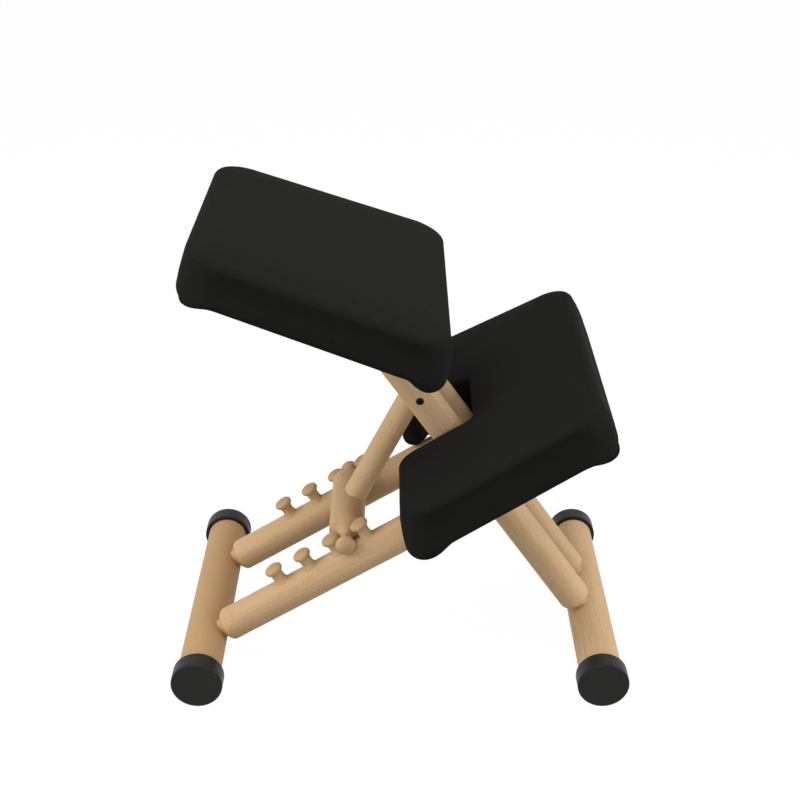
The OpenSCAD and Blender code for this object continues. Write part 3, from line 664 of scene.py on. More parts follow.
# The two bolts: where each crosses the middle, half of what it holds, and the radii of shank and head
BOLTS = {
    "pivot": (PIVOT, RAIL_X + RAIL_R - HEAD_HEIGHT - HEAD_PLAY, PIVOT_BOLT_R, 6.5 * MM),
    "strut": (STRUT_BOLT, LEG_X + LEG_R - HEAD_HEIGHT - HEAD_PLAY, STRUT_BOLT_R, 5 * MM)}
# The board screws: radii of shank and head, height of the head, and how far the point enters the board
SCREW_R, SCREW_HEAD_R, SCREW_HEAD, SCREW_BITE = 2.5 * MM, 5 * MM, 3 * MM, 9 * MM
# Where the screws pass the rails, behind and ahead of the pivot, and how deep their heads are sunk
KNEE_SCREW_BEHIND, KNEE_SCREW_AHEAD, KNEE_SCREW_SINK = 25 * MM, 75 * MM, 16 * MM
# How far the screws enter the legs, and where they do so, ahead of and behind the legs' axis
SEAT_SCREW_BITE, SEAT_SCREW_AHEAD, SEAT_SCREW_BEHIND = 18 * MM, 20 * MM, 8 * MM
PEG_COUNT = sum(node.startswith("height_peg_left_") for node in BODY_OF)
# A peg: its stem in the rail, its neck and foot, how high the foot flares, and how much fuller than the
# frame's head its own is
PEG_STEM_R, PEG_STEM_DEPTH = 6 * MM, 22 * MM
PEG_NECK_R, PEG_FOOT_R, PEG_FLARE, PEG_FULLER = 8.5 * MM, 12 * MM, 4 * MM, 0.8 * MM
# The heights of its dome, its rim and the underside of its head, and the roundings between them
PEG_DOME, PEG_RIM, PEG_UNDER = 5.2 * MM, 2.8 * MM, 5.2 * MM
PEG_FOOT_ROUND, PEG_NECK_ROUND, PEG_RIM_ROUND = 8 * MM, 5 * MM, 3.6 * MM


def tenoned_bar(name, radius, length, start, axis, soft, tenon_r=TENON_R, tip=TENON_PAST,
                shoulder=SHOULDER, edge=SHOULDER_CHAMFER):
    """A round bar from its tenon's tip to its far end. The profile steps out at the shoulder, and every
    end has a chamfer whose two edges are sanded round. The edge is the width of the shoulder's chamfer."""
    profile = rounded([
        (-tip, 0, 0), (-tip, tenon_r - CHAMFER, soft / 2), (CHAMFER - tip, tenon_r, soft),
        (shoulder, tenon_r, 0), (shoulder, radius - edge, edge / 2),
        (shoulder + edge, radius, edge),
        (length - CHAMFER, radius, 2 * soft), (length, radius - CHAMFER, soft), (length, 0, 0)])
    return turned(name, profile, start, axis)


def tenon_hole(start, axis):
    """The cutter for the mortise that a round tenon is glued into."""
    return drill(start, axis, [(-TENON_PAST - FIT, REACH, TENON_R + FIT)])


class KNEELING_OT_cross_rails(bpy.types.Operator):
    """Turns the two cross rails and bores them for the tenons of the rails and legs"""
    bl_idname = "kneeling_chair.cross_rails"
    bl_label = "Cross Rails"

    def execute(self, context):
        settings = context.scene.kneeling_chair.beech
        wood = beech(settings)
        for number, (node, way, x) in enumerate((
                ("back_cross_rail", RAIL_WAY, RAIL_X), ("front_cross_rail", LEG_WAY, LEG_X))):
            low, high = (np.array(corner, float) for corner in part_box(node))
            radius = (high[2] - low[2]) / 2
            axle = middle(node)
            profile = rounded([
                (low[0], 0, 0), (low[0], radius, settings.soft_edge),
                (high[0], radius, settings.soft_edge), (high[0], 0, 0)])
            rail = turned("turned_" + node, profile, np.array((0.0, axle[1], axle[2])), X, columns=96)
            cut(rail, [tenon_hole(axle + side * x * X, way) for side in SIDES.values()])
            lay_grain(rail, axle, X, PLANK_PLACES["cross_rail"] + number, BAR_TONES_AND_PAINTED_LIGHT[node])
            stand_in(rail, wood, "beech", node)
        return {"FINISHED"}


def on_rail(side, along, over=0.0):
    """A point on a knee rail, from the back cross rail's axis."""
    return BACK_AXLE + side * RAIL_X * X + along * RAIL_WAY + over * RAIL_OVER


def peg_along(side_name, i):
    """Distance of a peg from the back cross rail's axis, along its rail: the middle of its node."""
    low, high = span(f"height_peg_{side_name}_{i}", RAIL_WAY)
    return (low + high) / 2 - BACK_AXLE @ RAIL_WAY


PIVOT_ALONG = float((PIVOT - BACK_AXLE) @ RAIL_WAY)
KNEE_SCREWS = (PIVOT_ALONG - KNEE_SCREW_BEHIND, PIVOT_ALONG + KNEE_SCREW_AHEAD)


def bolt_hole(side, centre, half, bolt_r, head_r):
    """The cutter for a bolt's bore and the counterbore of its head, on one side of the chair."""
    return drill(centre, side * X, [(0.0, half, bolt_r + FIT), (half, half + REACH, head_r + HEAD_PLAY)])


class KNEELING_OT_knee_rails(bpy.types.Operator):
    """Turns the knee rails, bores them for the pivot bolt, the pegs and the board screws, and sets the
    mushroom pegs on them"""
    bl_idname = "kneeling_chair.knee_rails"
    bl_label = "Knee Rails and Pegs"

    def execute(self, context):
        settings = context.scene.kneeling_chair.beech
        wood = beech(settings)
        for number, (name, side) in enumerate(SIDES.items()):
            node = "knee_rail_" + name
            length = span(node, RAIL_WAY)[1] - BACK_AXLE @ RAIL_WAY
            start = on_rail(side, 0)
            rail = tenoned_bar("turned_" + node, RAIL_R, length, start, RAIL_WAY, settings.soft_edge)
            stem_foot = RAIL_R - PEG_STEM_DEPTH - FIT
            cutters = [bolt_hole(side, *BOLTS["pivot"])]
            cutters += [drill(on_rail(side, peg_along(name, i)), RAIL_OVER,
                              [(stem_foot, REACH, PEG_STEM_R + FIT)]) for i in range(1, PEG_COUNT + 1)]
            cutters += [drill(on_rail(side, along), RAIL_OVER, [
                (-REACH, KNEE_SCREW_SINK - RAIL_R, SCREW_HEAD_R + HEAD_PLAY),
                (KNEE_SCREW_SINK - RAIL_R, REACH, SCREW_R + FIT)]) for along in KNEE_SCREWS]
            cut(rail, cutters)
            for i in range(1, PEG_COUNT + 1):
                self.peg(settings, wood, rail, name, side, i)
            lay_grain(rail, start, RAIL_WAY, PLANK_PLACES["knee_rail"] + number, BAR_TONES_AND_PAINTED_LIGHT["knee_rail"])
            stand_in(rail, wood, "beech", node)
        return {"FINISHED"}

    def peg(self, settings, wood, rail, name, side, i):
        """A turned peg: glued stem, flared foot, neck, and a thick head with a domed top. The peg's foot is
        cut to the round of the rail."""
        node = f"height_peg_{name}_{i}"
        start = on_rail(side, peg_along(name, i))
        top = span(node, RAIL_OVER)[1] - start @ RAIL_OVER
        head_back, head_front = span(node, RAIL_WAY)
        head_r = (head_front - head_back) / 2 + PEG_FULLER
        foot_z = math.sqrt(RAIL_R ** 2 - PEG_FOOT_R ** 2)
        widest = top - PEG_DOME
        rim = widest - PEG_RIM
        side_line = rounded([
            (foot_z, PEG_FOOT_R, 0), (RAIL_R + PEG_FLARE, PEG_NECK_R, PEG_FOOT_ROUND),
            (rim - PEG_UNDER, PEG_NECK_R, PEG_NECK_ROUND), (rim, head_r, PEG_RIM_ROUND), (widest, head_r, 0)])
        stem_foot = RAIL_R - PEG_STEM_DEPTH
        stem = np.array([(stem_foot, 0.0), (stem_foot, PEG_STEM_R), (foot_z, PEG_STEM_R)])
        profile = np.concatenate([stem, side_line, dome(widest, PEG_DOME, head_r)])
        peg = turned("turned_" + node, profile, start, RAIL_OVER, columns=48, step=4 * MM)
        cut(peg, [rail], keep=True)
        lay_grain(peg, start, RAIL_OVER, PLANK_PLACES["peg"] + i + PEG_COUNT * side)
        stand_in(peg, wood, "beech", node)


class Pad:
    """The local frame of a cushion and its board: x across, y towards the back, z square to the board,
    from the middle of the board's underside. The tilt is how much its back is raised."""

    def __init__(self, name, tilt):
        self.back = np.array((0.0, math.cos(tilt), math.sin(tilt)))
        self.up = np.array((0.0, -math.sin(tilt), math.cos(tilt)))
        self.tilt = tilt
        low, high = span(name + "_cushion", self.back)
        self.length = high - low
        under = span(name + "_board", self.up)[0]
        self.board = span(name + "_board", self.up)[1] - under
        self.height = span(name + "_cushion", self.up)[1] - under
        self.origin = (low + high) / 2 * self.back + under * self.up

    def local(self, points):
        """Points of the chair in the pad's own frame."""
        return (points - self.origin) @ np.stack([X, self.back, self.up], axis=1)

    def placed(self, points):
        """Points of the pad's own frame in the chair."""
        return self.origin + points @ np.stack([X, self.back, self.up])


SEAT, KNEE = Pad("seat", math.radians(19.5)), Pad("knee", math.radians(-29.4))
# Where the axis of the legs meets the underside of the seat board
LEG_LENGTH = float((SEAT.origin - FRONT_AXLE) @ SEAT.up / (LEG_WAY @ SEAT.up))
LEG_TOP = FRONT_AXLE + LEG_LENGTH * LEG_WAY
SEAT_SCREWS = (-SEAT_SCREW_BEHIND, SEAT_SCREW_AHEAD)


class KNEELING_OT_seat_legs(bpy.types.Operator):
    """Turns the seat legs, cuts them off along the seat board and bores them for their bolts and screws"""
    bl_idname = "kneeling_chair.seat_legs"
    bl_label = "Seat Legs"

    def execute(self, context):
        settings = context.scene.kneeling_chair.beech
        wood = beech(settings)
        for number, (name, side) in enumerate(SIDES.items()):
            node = "seat_leg_" + name
            start, top = FRONT_AXLE + side * LEG_X * X, LEG_TOP + side * LEG_X * X
            length = LEG_LENGTH + 2 * LEG_R
            leg = tenoned_bar("turned_" + node, LEG_R, length, start, LEG_WAY, settings.soft_edge)
            cutters = [
                drill(top, SEAT.up, [(0.0, REACH, 2 * REACH)]),
                drill(PIVOT, side * X, [(0.0, 2 * REACH, PIVOT_BOLT_R + FIT)]),
                bolt_hole(side, *BOLTS["strut"])]
            screw_hole = (-SEAT_SCREW_BITE - FIT, REACH, SCREW_R + FIT)
            cutters += [drill(top - place * SEAT.back, SEAT.up, [screw_hole]) for place in SEAT_SCREWS]
            cut(leg, cutters)
            lay_grain(leg, start, LEG_WAY, PLANK_PLACES["seat_leg"] + number, BAR_TONES_AND_PAINTED_LIGHT["seat_leg"])
            stand_in(leg, wood, "beech", node)
        return {"FINISHED"}


# How far the cross bar lies over the rails, and how much fuller than the frame's it is
BAR_GAP, BAR_FULLER = 0.4 * MM, 1 * MM
# Its knobs' radius and dome, and the rounding where its coves begin
BAR_KNOB_R, BAR_KNOB_DOME, BAR_SOFT = 13.9 * MM, 10.5 * MM, 5 * MM
# The strut's tenon, and how deep its shoulder is scooped out over the bar
STRUT_TENON_R, STRUT_COPE = 9 * MM, 4.5 * MM
# The points of a cove, and how many of them its rounded start takes up
COVE_STEPS, COVE_START = 20, 4


class KNEELING_OT_strut(bpy.types.Operator):
    """Turns the strut and the cross bar that props the seat in the pegs"""
    bl_idname = "kneeling_chair.strut"
    bl_label = "Strut and Cross Bar"

    def execute(self, context):
        settings = context.scene.kneeling_chair.beech
        wood = beech(settings)
        low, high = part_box("strut")
        radius = (high[0] - low[0]) / 2
        length = span("strut", STRUT_WAY)[1] - BAR_AXLE @ STRUT_WAY
        bar_low, bar_high = span("cross_bar", Z)
        bar_r = (bar_high - bar_low) / 2 + BAR_FULLER
        shoulder = bar_r + BAR_GAP - STRUT_COPE
        strut = tenoned_bar("turned_strut", radius, length, BAR_AXLE, STRUT_WAY, settings.soft_edge,
                            tenon_r=STRUT_TENON_R, tip=0.0, shoulder=shoulder, edge=CHAMFER)
        cope = drill(BAR_AXLE - REACH * X, X, [(0.0, 2 * REACH, bar_r + BAR_GAP)], columns=96)
        cut(cope, [drill(BAR_AXLE, STRUT_WAY, [(-REACH, REACH, STRUT_TENON_R - FIT)])])
        cut(strut, [drill(STRUT_BOLT - REACH * X, X, [(0.0, 2 * REACH, STRUT_BOLT_R + FIT)]), cope])
        lay_grain(strut, BAR_AXLE, STRUT_WAY, PLANK_PLACES["strut"], BAR_TONES_AND_PAINTED_LIGHT["strut"])
        stand_in(strut, wood, "beech", "strut")
        profile = self.bar_profile(bar_r, settings.soft_edge)
        bar = turned("turned_cross_bar", profile, BAR_AXLE, X, columns=96)
        cut(bar, [drill(BAR_AXLE, STRUT_WAY, [(-FIT, REACH, STRUT_TENON_R + FIT)])])
        lay_grain(bar, BAR_AXLE, X, PLANK_PLACES["cross_bar"])
        stand_in(bar, wood, "beech", "cross_bar")
        return {"FINISHED"}

    def bar_profile(self, bar_r, soft):
        """Half of the profile and its mirror image. Over a knee rail the radius is the height of the bar
        over the rail less the round of the rail, which leaves a cove that rides on the rail; past the
        cove stands a knob with a domed end."""
        groove = RAIL_R + BAR_GAP
        over = float((BAR_AXLE - on_rail(0, 0)) @ RAIL_OVER)
        inner = RAIL_X - math.sqrt(groove ** 2 - (over - bar_r) ** 2)
        outer = RAIL_X + math.sqrt(groove ** 2 - (over - BAR_KNOB_R) ** 2)
        x = np.linspace(inner, outer, COVE_STEPS + 1)
        cove = np.stack([x, over - np.sqrt(groove ** 2 - (RAIL_X - x) ** 2)], axis=1)
        knob_end = dome(outer, BAR_KNOB_DOME, BAR_KNOB_R)
        soft_start = rounded([(0, bar_r, 0), (inner, bar_r, BAR_SOFT), (*cove[COVE_START], 0)])
        soft_rim = rounded([(*cove[-2], 0), (*cove[-1], soft / 2), (*knob_end[1], 0)])
        half = np.concatenate([soft_start[1:], cove[COVE_START + 1:-2], soft_rim, knob_end[2:]])
        return np.concatenate([(half * (-1, 1))[::-1], half])


# Fittings

# How much further along the rail a cap begins than the frame's, how thick its closed end is, and how
# deep its face is dished
CAP_LIP, CAP_END, CAP_DISH = 2 * MM, 5 * MM, 0.4 * MM
# The roundings at the bottom of a cap's bore and at its mouth, and the short step beside its face
CAP_BORE_ROUND, CAP_MOUTH_ROUND, CAP_FACE_STEP = 1.0 * MM, 0.6 * MM, 0.1 * MM


class KNEELING_OT_caps(bpy.types.Operator):
    """Moulds the four rubber caps with their flat treads"""
    bl_idname = "kneeling_chair.caps"
    bl_label = "Rubber Caps"

    def execute(self, context):
        settings = context.scene.kneeling_chair.fitting
        finish = rubber(settings)
        bore = (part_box("back_cross_rail")[1][2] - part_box("back_cross_rail")[0][2]) / 2 + FIT
        for end, axle in (("back", BACK_AXLE), ("front", FRONT_AXLE)):
            for name, side in SIDES.items():
                node = f"{end}_cap_{name}"
                low, high = (np.array(corner, float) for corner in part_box(node))
                radius = (high[1] - low[1]) / 2
                depth = high[0] - low[0] - CAP_LIP
                mouth = min(abs(low[0]), abs(high[0])) + CAP_LIP
                cap = self.cap(settings, node, axle + side * mouth * X, side * X, bore, radius, depth)
                stand_in(cap, finish, "rubber", node)
        return {"FINISHED"}

    def cap(self, settings, node, start, axis, bore, radius, depth):
        """A cup: the profile runs out of the bore, over the thin lip and along the side to the closed
        face, which is very slightly dished. Points under the floor are raised to it, as a flat tread."""
        lip = settings.cap_round / 2
        t = np.linspace(1, 0, CURVE_STEPS + 1)
        face = np.stack([depth - CAP_DISH * (1 - t ** 2) ** 2, t * (radius - settings.cap_round)], axis=1)
        edge = rounded([
            (depth - CAP_END, 0, 0), (depth - CAP_END, bore, CAP_BORE_ROUND), (0, bore, CAP_MOUTH_ROUND),
            (0, radius, lip), (depth, radius, settings.cap_round), (depth, face[0, 1] - CAP_FACE_STEP, 0)],
            steps=7)
        profile = np.concatenate([edge[:-1], face])
        cap = turned("moulded_" + node, profile, start, axis, columns=96, step=4 * MM)
        points = mesh_points(cap.data)
        points[:, 2] = np.maximum(points[:, 2], 0.0)
        cap.data.vertices.foreach_set("co", points.astype(np.float32).ravel())
        cap.data.update()
        smooth(cap.data)
        return cap


# The socket of a bolt: its corners' radius for a key 5 mm across its flats, and its depth
SOCKET_R, SOCKET_DEPTH = 2.5 * MM / math.cos(math.radians(30)), 3 * MM
# How far a bolt reaches into its nut, as a share of the nut's height
THREAD_SHARE = 0.33
BOLT_SOFT, WASHER_SOFT = 0.6 * MM, 0.5 * MM


def socket_cutter(face, axis):
    """A hexagon prism that sinks the socket into a bolt head's face."""
    return turned("socket", [(-SOCKET_DEPTH, 0), (-SOCKET_DEPTH, SOCKET_R), (SOCKET_DEPTH, SOCKET_R),
                             (SOCKET_DEPTH, 0)], face, axis, columns=6, step=WHOLE)


class KNEELING_OT_bolts(bpy.types.Operator):
    """Makes the two socket-head bolts with their sleeve nuts, and the nylon washers of the pivot"""
    bl_idname = "kneeling_chair.bolts"
    bl_label = "Bolts and Washers"

    def execute(self, context):
        settings = context.scene.kneeling_chair.fitting
        steel, plastic = black_steel(settings), nylon(settings)
        soft, thread = BOLT_SOFT, HEAD_HEIGHT * THREAD_SHARE
        for kind, (centre, half, bolt_r, head_r) in BOLTS.items():
            face = half + HEAD_HEIGHT
            head = [(-thread - half, 0, 0), (-thread - half, bolt_r, soft / 2), (half, bolt_r, 0),
                    (half, head_r, soft / 3), (face, head_r, soft), (face, 0, 0)]
            bolt = turned(f"socket_{kind}_bolt", rounded(head), centre, -X, columns=48)
            cut(bolt, [socket_cutter(centre - face * X, -X)])
            stand_in(bolt, steel, "black_steel", kind + "_bolt")
            bore = bolt_r + FIT
            sleeve = [(half + thread + FIT, 0, 0), (half + thread + FIT, bore, 0), (half, bore, soft / 4),
                      (half, head_r, soft / 3), (face, head_r, soft), (face, 0, 0)]
            nut = turned(f"socket_{kind}_nut", rounded(sleeve), centre, X, columns=48)
            cut(nut, [socket_cutter(centre + face * X, X)])
            stand_in(nut, steel, "black_steel", kind + "_nut")
        for name, side in SIDES.items():
            node = "pivot_washer_" + name
            low, high = (np.array(corner, float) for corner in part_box(node))
            near, far = sorted((abs(low[0]), abs(high[0])))
            outer, inner = (high[2] - low[2]) / 2, PIVOT_BOLT_R + FIT
            ring = rounded([(near, inner, WASHER_SOFT), (far, inner, WASHER_SOFT), (far, outer, WASHER_SOFT),
                            (near, outer, WASHER_SOFT)], closed=True)
            profile = np.concatenate([ring, ring[:1]])
            washer = turned("moulded_" + node, profile, PIVOT, side * X, columns=64)
            stand_in(washer, plastic, "nylon", node)
        return {"FINISHED"}


# A screw's point, in radii of its shank, and the flat of its pan head, as a share of the head
SCREW_TIP_SHARE, PAN_FLAT_SHARE = 2.4, 0.72
# The roundings of its pan head's top and side, of the head's underside, and of the start of its point
PAN_ROUND, HEAD_ROUND, UNDER_ROUND, TIP_ROUND = 1.0 * MM, 0.6 * MM, 0.2 * MM, 0.4 * MM
# The cross slot: its width and depth, its reach as a share of the head, and how it narrows downwards
CROSS_WIDTH, CROSS_DEPTH, CROSS_SHARE, CROSS_TAPER = 1.1 * MM, 1.6 * MM, 0.5, 0.7
# How far over the head the cutter of the cross slot begins
CROSS_OVER = 1 * MM


def board_screw(start, axis, length):
    """A pan-head screw: domed head below the start, straight shank, and a point at its far end. Each bar
    of its cross slot is a box that narrows downwards."""
    profile = rounded([
        (-SCREW_HEAD, 0, 0), (-SCREW_HEAD, SCREW_HEAD_R * PAN_FLAT_SHARE, PAN_ROUND),
        (-SCREW_HEAD / 3, SCREW_HEAD_R, HEAD_ROUND), (0, SCREW_HEAD_R, UNDER_ROUND), (0, SCREW_R, 0),
        (length - SCREW_TIP_SHARE * SCREW_R, SCREW_R, TIP_ROUND), (length, 0, 0)])
    screw = turned("screw", profile, start, axis, columns=32, step=6 * MM)
    top = start - (SCREW_HEAD + CROSS_OVER) * unit(axis)
    foot = start - (SCREW_HEAD - CROSS_DEPTH) * unit(axis)
    t = np.array([[-1, -1], [1, -1], [1, 1], [-1, 1]], float)
    blades = []
    for way in across(axis):
        other = np.cross(way, axis)
        ring = t[:, :1] * way * SCREW_HEAD_R * CROSS_SHARE + t[:, 1:] * other * CROSS_WIDTH / 2
        grid = np.stack([top + 0 * ring, top + ring, foot + ring * CROSS_TAPER, foot + 0 * ring])
        blades.append(surface("blade", grid))
    return cut(screw, blades)


# The softened edges of a planed saddle: their width, and the least angle that is softened
SADDLE_SOFT, SADDLE_ANGLE = 0.8 * MM, math.radians(40)


class KNEELING_OT_boards(bpy.types.Operator):
    """Finishes the plywood boards and the saddles, and drives the screws that hold them"""
    bl_idname = "kneeling_chair.boards"
    bl_label = "Boards, Saddles and Screws"

    def execute(self, context):
        settings = context.scene.kneeling_chair
        wood, plate = beech(settings.beech), zinc_plate(settings.fitting)
        for pad, node in ((SEAT, "seat_board"), (KNEE, "knee_board")):
            board = frame["nodes"][node]
            board.data.materials.clear()
            board.data.materials.append(plywood(node.split("_")[0], pad.tilt))
        for number, name in enumerate(SIDES):
            node = "knee_saddle_" + name
            saddle = linked("planed_" + node, frame["nodes"][node].data.copy())
            close_up(saddle.data, gap=0.01 * MM)
            bevel = saddle.modifiers.new("soft edges", "BEVEL")
            bevel.width = SADDLE_SOFT
            bevel.segments = 2
            bevel.limit_method = "ANGLE"
            bevel.angle_limit = SADDLE_ANGLE
            settle(saddle)
            smooth(saddle.data)
            lay_grain(saddle, PIVOT, RAIL_WAY, PLANK_PLACES["knee_saddle"] + number)
            stand_in(saddle, wood, "beech", node)
        knee, seat = [], []
        for side in SIDES.values():
            for along in KNEE_SCREWS:
                head = on_rail(side, along, KNEE_SCREW_SINK - RAIL_R)
                tip = (KNEE.origin - on_rail(side, along)) @ KNEE.up / (RAIL_OVER @ KNEE.up) + SCREW_BITE
                knee.append(board_screw(head, RAIL_OVER, tip - KNEE_SCREW_SINK + RAIL_R))
            for place in SEAT_SCREWS:
                head = LEG_TOP + side * LEG_X * X - place * SEAT.back + (SEAT.board - SCREW_HEAD) * SEAT.up
                seat.append(board_screw(head, -SEAT.up, SEAT.board - SCREW_HEAD + SEAT_SCREW_BITE))
        stand_in(joined("driven_knee_board_screws", knee), plate, "zinc", "knee_board_screws")
        stand_in(joined("driven_seat_board_screws", seat), plate, "zinc", "seat_board_screws")
        return {"FINISHED"}


# Upholstery

# How wide the rim round the board is, and the height of the pocket that the board lies in
SKIRT, POCKET_TOP = 11 * MM, 12.3 * MM
TOP_ROUND, NOTCH_TOP_ROUND, BOTTOM_ROUND = 11 * MM, 7 * MM, 8 * MM
# How far in from the edge the skin's rings go before a patch closes the top, and where the last lie
BAND, BAND_SHARES = 24 * MM, (0.3, 0.65, 1.0)
# How the rolled ends of a pad reach past its board: down in the middle of the end and at its corners,
# out in the same two places, and how far from the end they fade out
SEAT_FRONT_ROLL = (6 * MM, 16 * MM, 4 * MM, 12.5 * MM, 42 * MM)
SEAT_BACK_ROLL = (4 * MM, 13.5 * MM, -1.5 * MM, -2.5 * MM, 56 * MM)
KNEE_FRONT_ROLL = (3.5 * MM, 14.5 * MM, -3.5 * MM, -5 * MM, 58 * MM)
KNEE_BACK_ROLL = (8.4 * MM, 11.5 * MM, 22 * MM, 20 * MM, 48 * MM)
# How far the roll fades into the notch, and between which distances from the pad's side it changes from
# the middle's to the corner's
NOTCH_FADE = 11 * MM
ROLL_CORNER_FROM, ROLL_CORNER_TO = 105 * MM, 45 * MM
# How much rounder the bottom is over the deepest roll
ROLL_ROUND = 9 * MM
# Over the deepest rolls the side stands out instead of being drawn in: by this less one, times its draw
CORNER_FULLNESS = 2.0
# How far the crown reaches in from the edge, as a share of the pad's length
CROWN_SHARE = 0.25
# The pads' edges: half widths and corner radii, and how far ahead of the middle the notch ends
SEAT_BACK_HALF, SEAT_FRONT_HALF = 194.5 * MM, 220 * MM
SEAT_BACK_CORNER, SEAT_FRONT_CORNER = 57 * MM, 47 * MM
KNEE_BACK_HALF, KNEE_FRONT_HALF = 245.5 * MM, 213 * MM
KNEE_BACK_CORNER, KNEE_FRONT_CORNER = 46 * MM, 50 * MM
NOTCH_END, NOTCH_END_HALF, NOTCH_MOUTH_HALF = 29 * MM, 64.2 * MM, 76 * MM
NOTCH_END_CORNER, NOTCH_MOUTH_CORNER = 11 * MM, 29 * MM
# How far the foam's edge lies inside the finished pad's, and how much shorter the knee pad's back is
SWELL_ROOM, KNEE_BACK_SHORT = 1 * MM, 1.2 * MM
# Into how many parts the edges are divided: a corner's arc, the seat's ends and sides, and the ends of
# the knee pad's lobes, its sides and its front
ARC_STEPS, SEAT_END_STEPS, SEAT_SIDE_STEPS = 16, 52, 42
LOBE_STEPS, KNEE_SIDE_STEPS, KNEE_FRONT_STEPS = 18, 32, 54
# Over how many points to each side the top's rounding eases into the notch's
NOTCH_EASE = 6
# How many points the arcs and the side between them have in a section
ARC_POINTS, SIDE_POINTS = 10, 10
SIMULATED_FRAMES = 20
# The heights between which the cover's freedom grows, and how far from the notch it is back to the full
SWELL_FROM, SWELL_FULL, NOTCH_CLEAR = 2 * MM, 22 * MM, 30 * MM
# How far a point has to move to come most of the way to its limit
SWELL_EASE = 6 * MM
# Too short to matter beside any of these sizes, and a length that only keeps a division from failing
HAIR, LEAST_LENGTH = 0.1 * MM, 1e-9
# The least part of a level surface's normal that counts as pointing aside
LEAST_LEAN = 0.05


def ramp(value, low, high):
    """0 below low, 1 above high, and a smooth rise between them."""
    t = np.clip((value - low) / (high - low), 0, 1)
    return t * t * (3 - 2 * t)


def pad_edge(corners, steps):
    """The closed edge of a pad seen from above, through its (x, y, radius) corners. Each corner is an arc
    of ARC_STEPS, and steps says into how many parts the straight after each is divided. The edge starts
    in the middle of the first arc."""
    arcs = rounded(corners, ARC_STEPS, closed=True).reshape(len(corners), ARC_STEPS + 1, 2)
    parts = [np.concatenate([arc, np.linspace(arc[-1], following[0], count, endpoint=False)[1:]])
             for arc, following, count in zip(arcs, np.roll(arcs, -1, axis=0), steps)]
    return np.roll(np.concatenate(parts), -(ARC_STEPS // 2), axis=0)


def seat_edge():
    """The edge of the seat pad: a trapezoid with round corners, widest in front. With it come the steps
    from one patch corner to the next, the rolls of its front and back, and which points line the notch."""
    half = SEAT.length / 2
    back = half - SWELL_ROOM
    edge = pad_edge([
        (SEAT_BACK_HALF, back, SEAT_BACK_CORNER), (-SEAT_BACK_HALF, back, SEAT_BACK_CORNER),
        (-SEAT_FRONT_HALF, -half, SEAT_FRONT_CORNER), (SEAT_FRONT_HALF, -half, SEAT_FRONT_CORNER)],
        (SEAT_END_STEPS, SEAT_SIDE_STEPS) * 2)
    steps = (ARC_STEPS + SEAT_END_STEPS, ARC_STEPS + SEAT_SIDE_STEPS)
    return edge, steps, (SEAT_FRONT_ROLL, SEAT_BACK_ROLL), np.zeros(len(edge), bool)


def knee_edge():
    """The edge of the knee pad: a trapezoid with a notch for the legs in its back. The four patch corners
    are the corners of the two lobes, so that the grid runs round the notch like a track."""
    half = KNEE.length / 2 - SWELL_ROOM
    back = half - KNEE_BACK_SHORT
    corners = [
        (NOTCH_MOUTH_HALF, back, NOTCH_MOUTH_CORNER), (KNEE_BACK_HALF, back, KNEE_BACK_CORNER),
        (KNEE_FRONT_HALF, -half, KNEE_FRONT_CORNER), (-KNEE_FRONT_HALF, -half, KNEE_FRONT_CORNER),
        (-KNEE_BACK_HALF, back, KNEE_BACK_CORNER), (-NOTCH_MOUTH_HALF, back, NOTCH_MOUTH_CORNER),
        (-NOTCH_END_HALF, NOTCH_END, NOTCH_END_CORNER), (NOTCH_END_HALF, NOTCH_END, NOTCH_END_CORNER)]
    edge = pad_edge(corners, (LOBE_STEPS, KNEE_SIDE_STEPS, KNEE_FRONT_STEPS, KNEE_SIDE_STEPS) * 2)
    a, b = ARC_STEPS + LOBE_STEPS, 3 * ARC_STEPS + 2 * KNEE_SIDE_STEPS + KNEE_FRONT_STEPS
    notch = np.zeros(len(edge), bool)
    notch[:ARC_STEPS // 2] = True
    notch[2 * a + b - ARC_STEPS // 2:] = True
    return edge, (a, b), (KNEE_FRONT_ROLL, KNEE_BACK_ROLL), notch


def inward(edge):
    """Level normals that point into the padding, square to the chord between each point's neighbours."""
    chord = np.roll(edge, -1, axis=0) - np.roll(edge, 1, axis=0)
    normal = np.stack([-chord[:, 1], chord[:, 0]], axis=1) / np.linalg.norm(chord, axis=1)[:, None]
    turn = np.cross(np.roll(edge, -1, axis=0), edge).sum()
    return normal * -np.sign(turn)


def patch(ring, a, b):
    """A grid [a + 1, b + 1] that fills a ring of 2 * (a + b) points. It is a Coons patch: the sum of the
    two ruled surfaces between opposite sides, less the bilinear one through the four corners."""
    loop = np.concatenate([ring, ring[:1]])
    west, south = loop[:a + 1], loop[a:a + b + 1]
    east, north = loop[a + b:2 * a + b + 1][::-1], loop[2 * a + b:][::-1]
    u = np.linspace(0, 1, a + 1)[:, None, None]
    v = np.linspace(0, 1, b + 1)[None, :, None]
    ruled = (1 - v) * west[:, None] + v * east[:, None] + (1 - u) * north[None] + u * south[None]
    return ruled - (1 - u) * ((1 - v) * west[0] + v * east[0]) - u * ((1 - v) * west[-1] + v * east[-1])


def edge_distance(points, edge):
    """Distance from each level point to the nearest point of the edge."""
    steps = (points[:, None, :] - edge[None, :, :]) ** 2
    return np.sqrt(steps.sum(axis=2).min(axis=1))


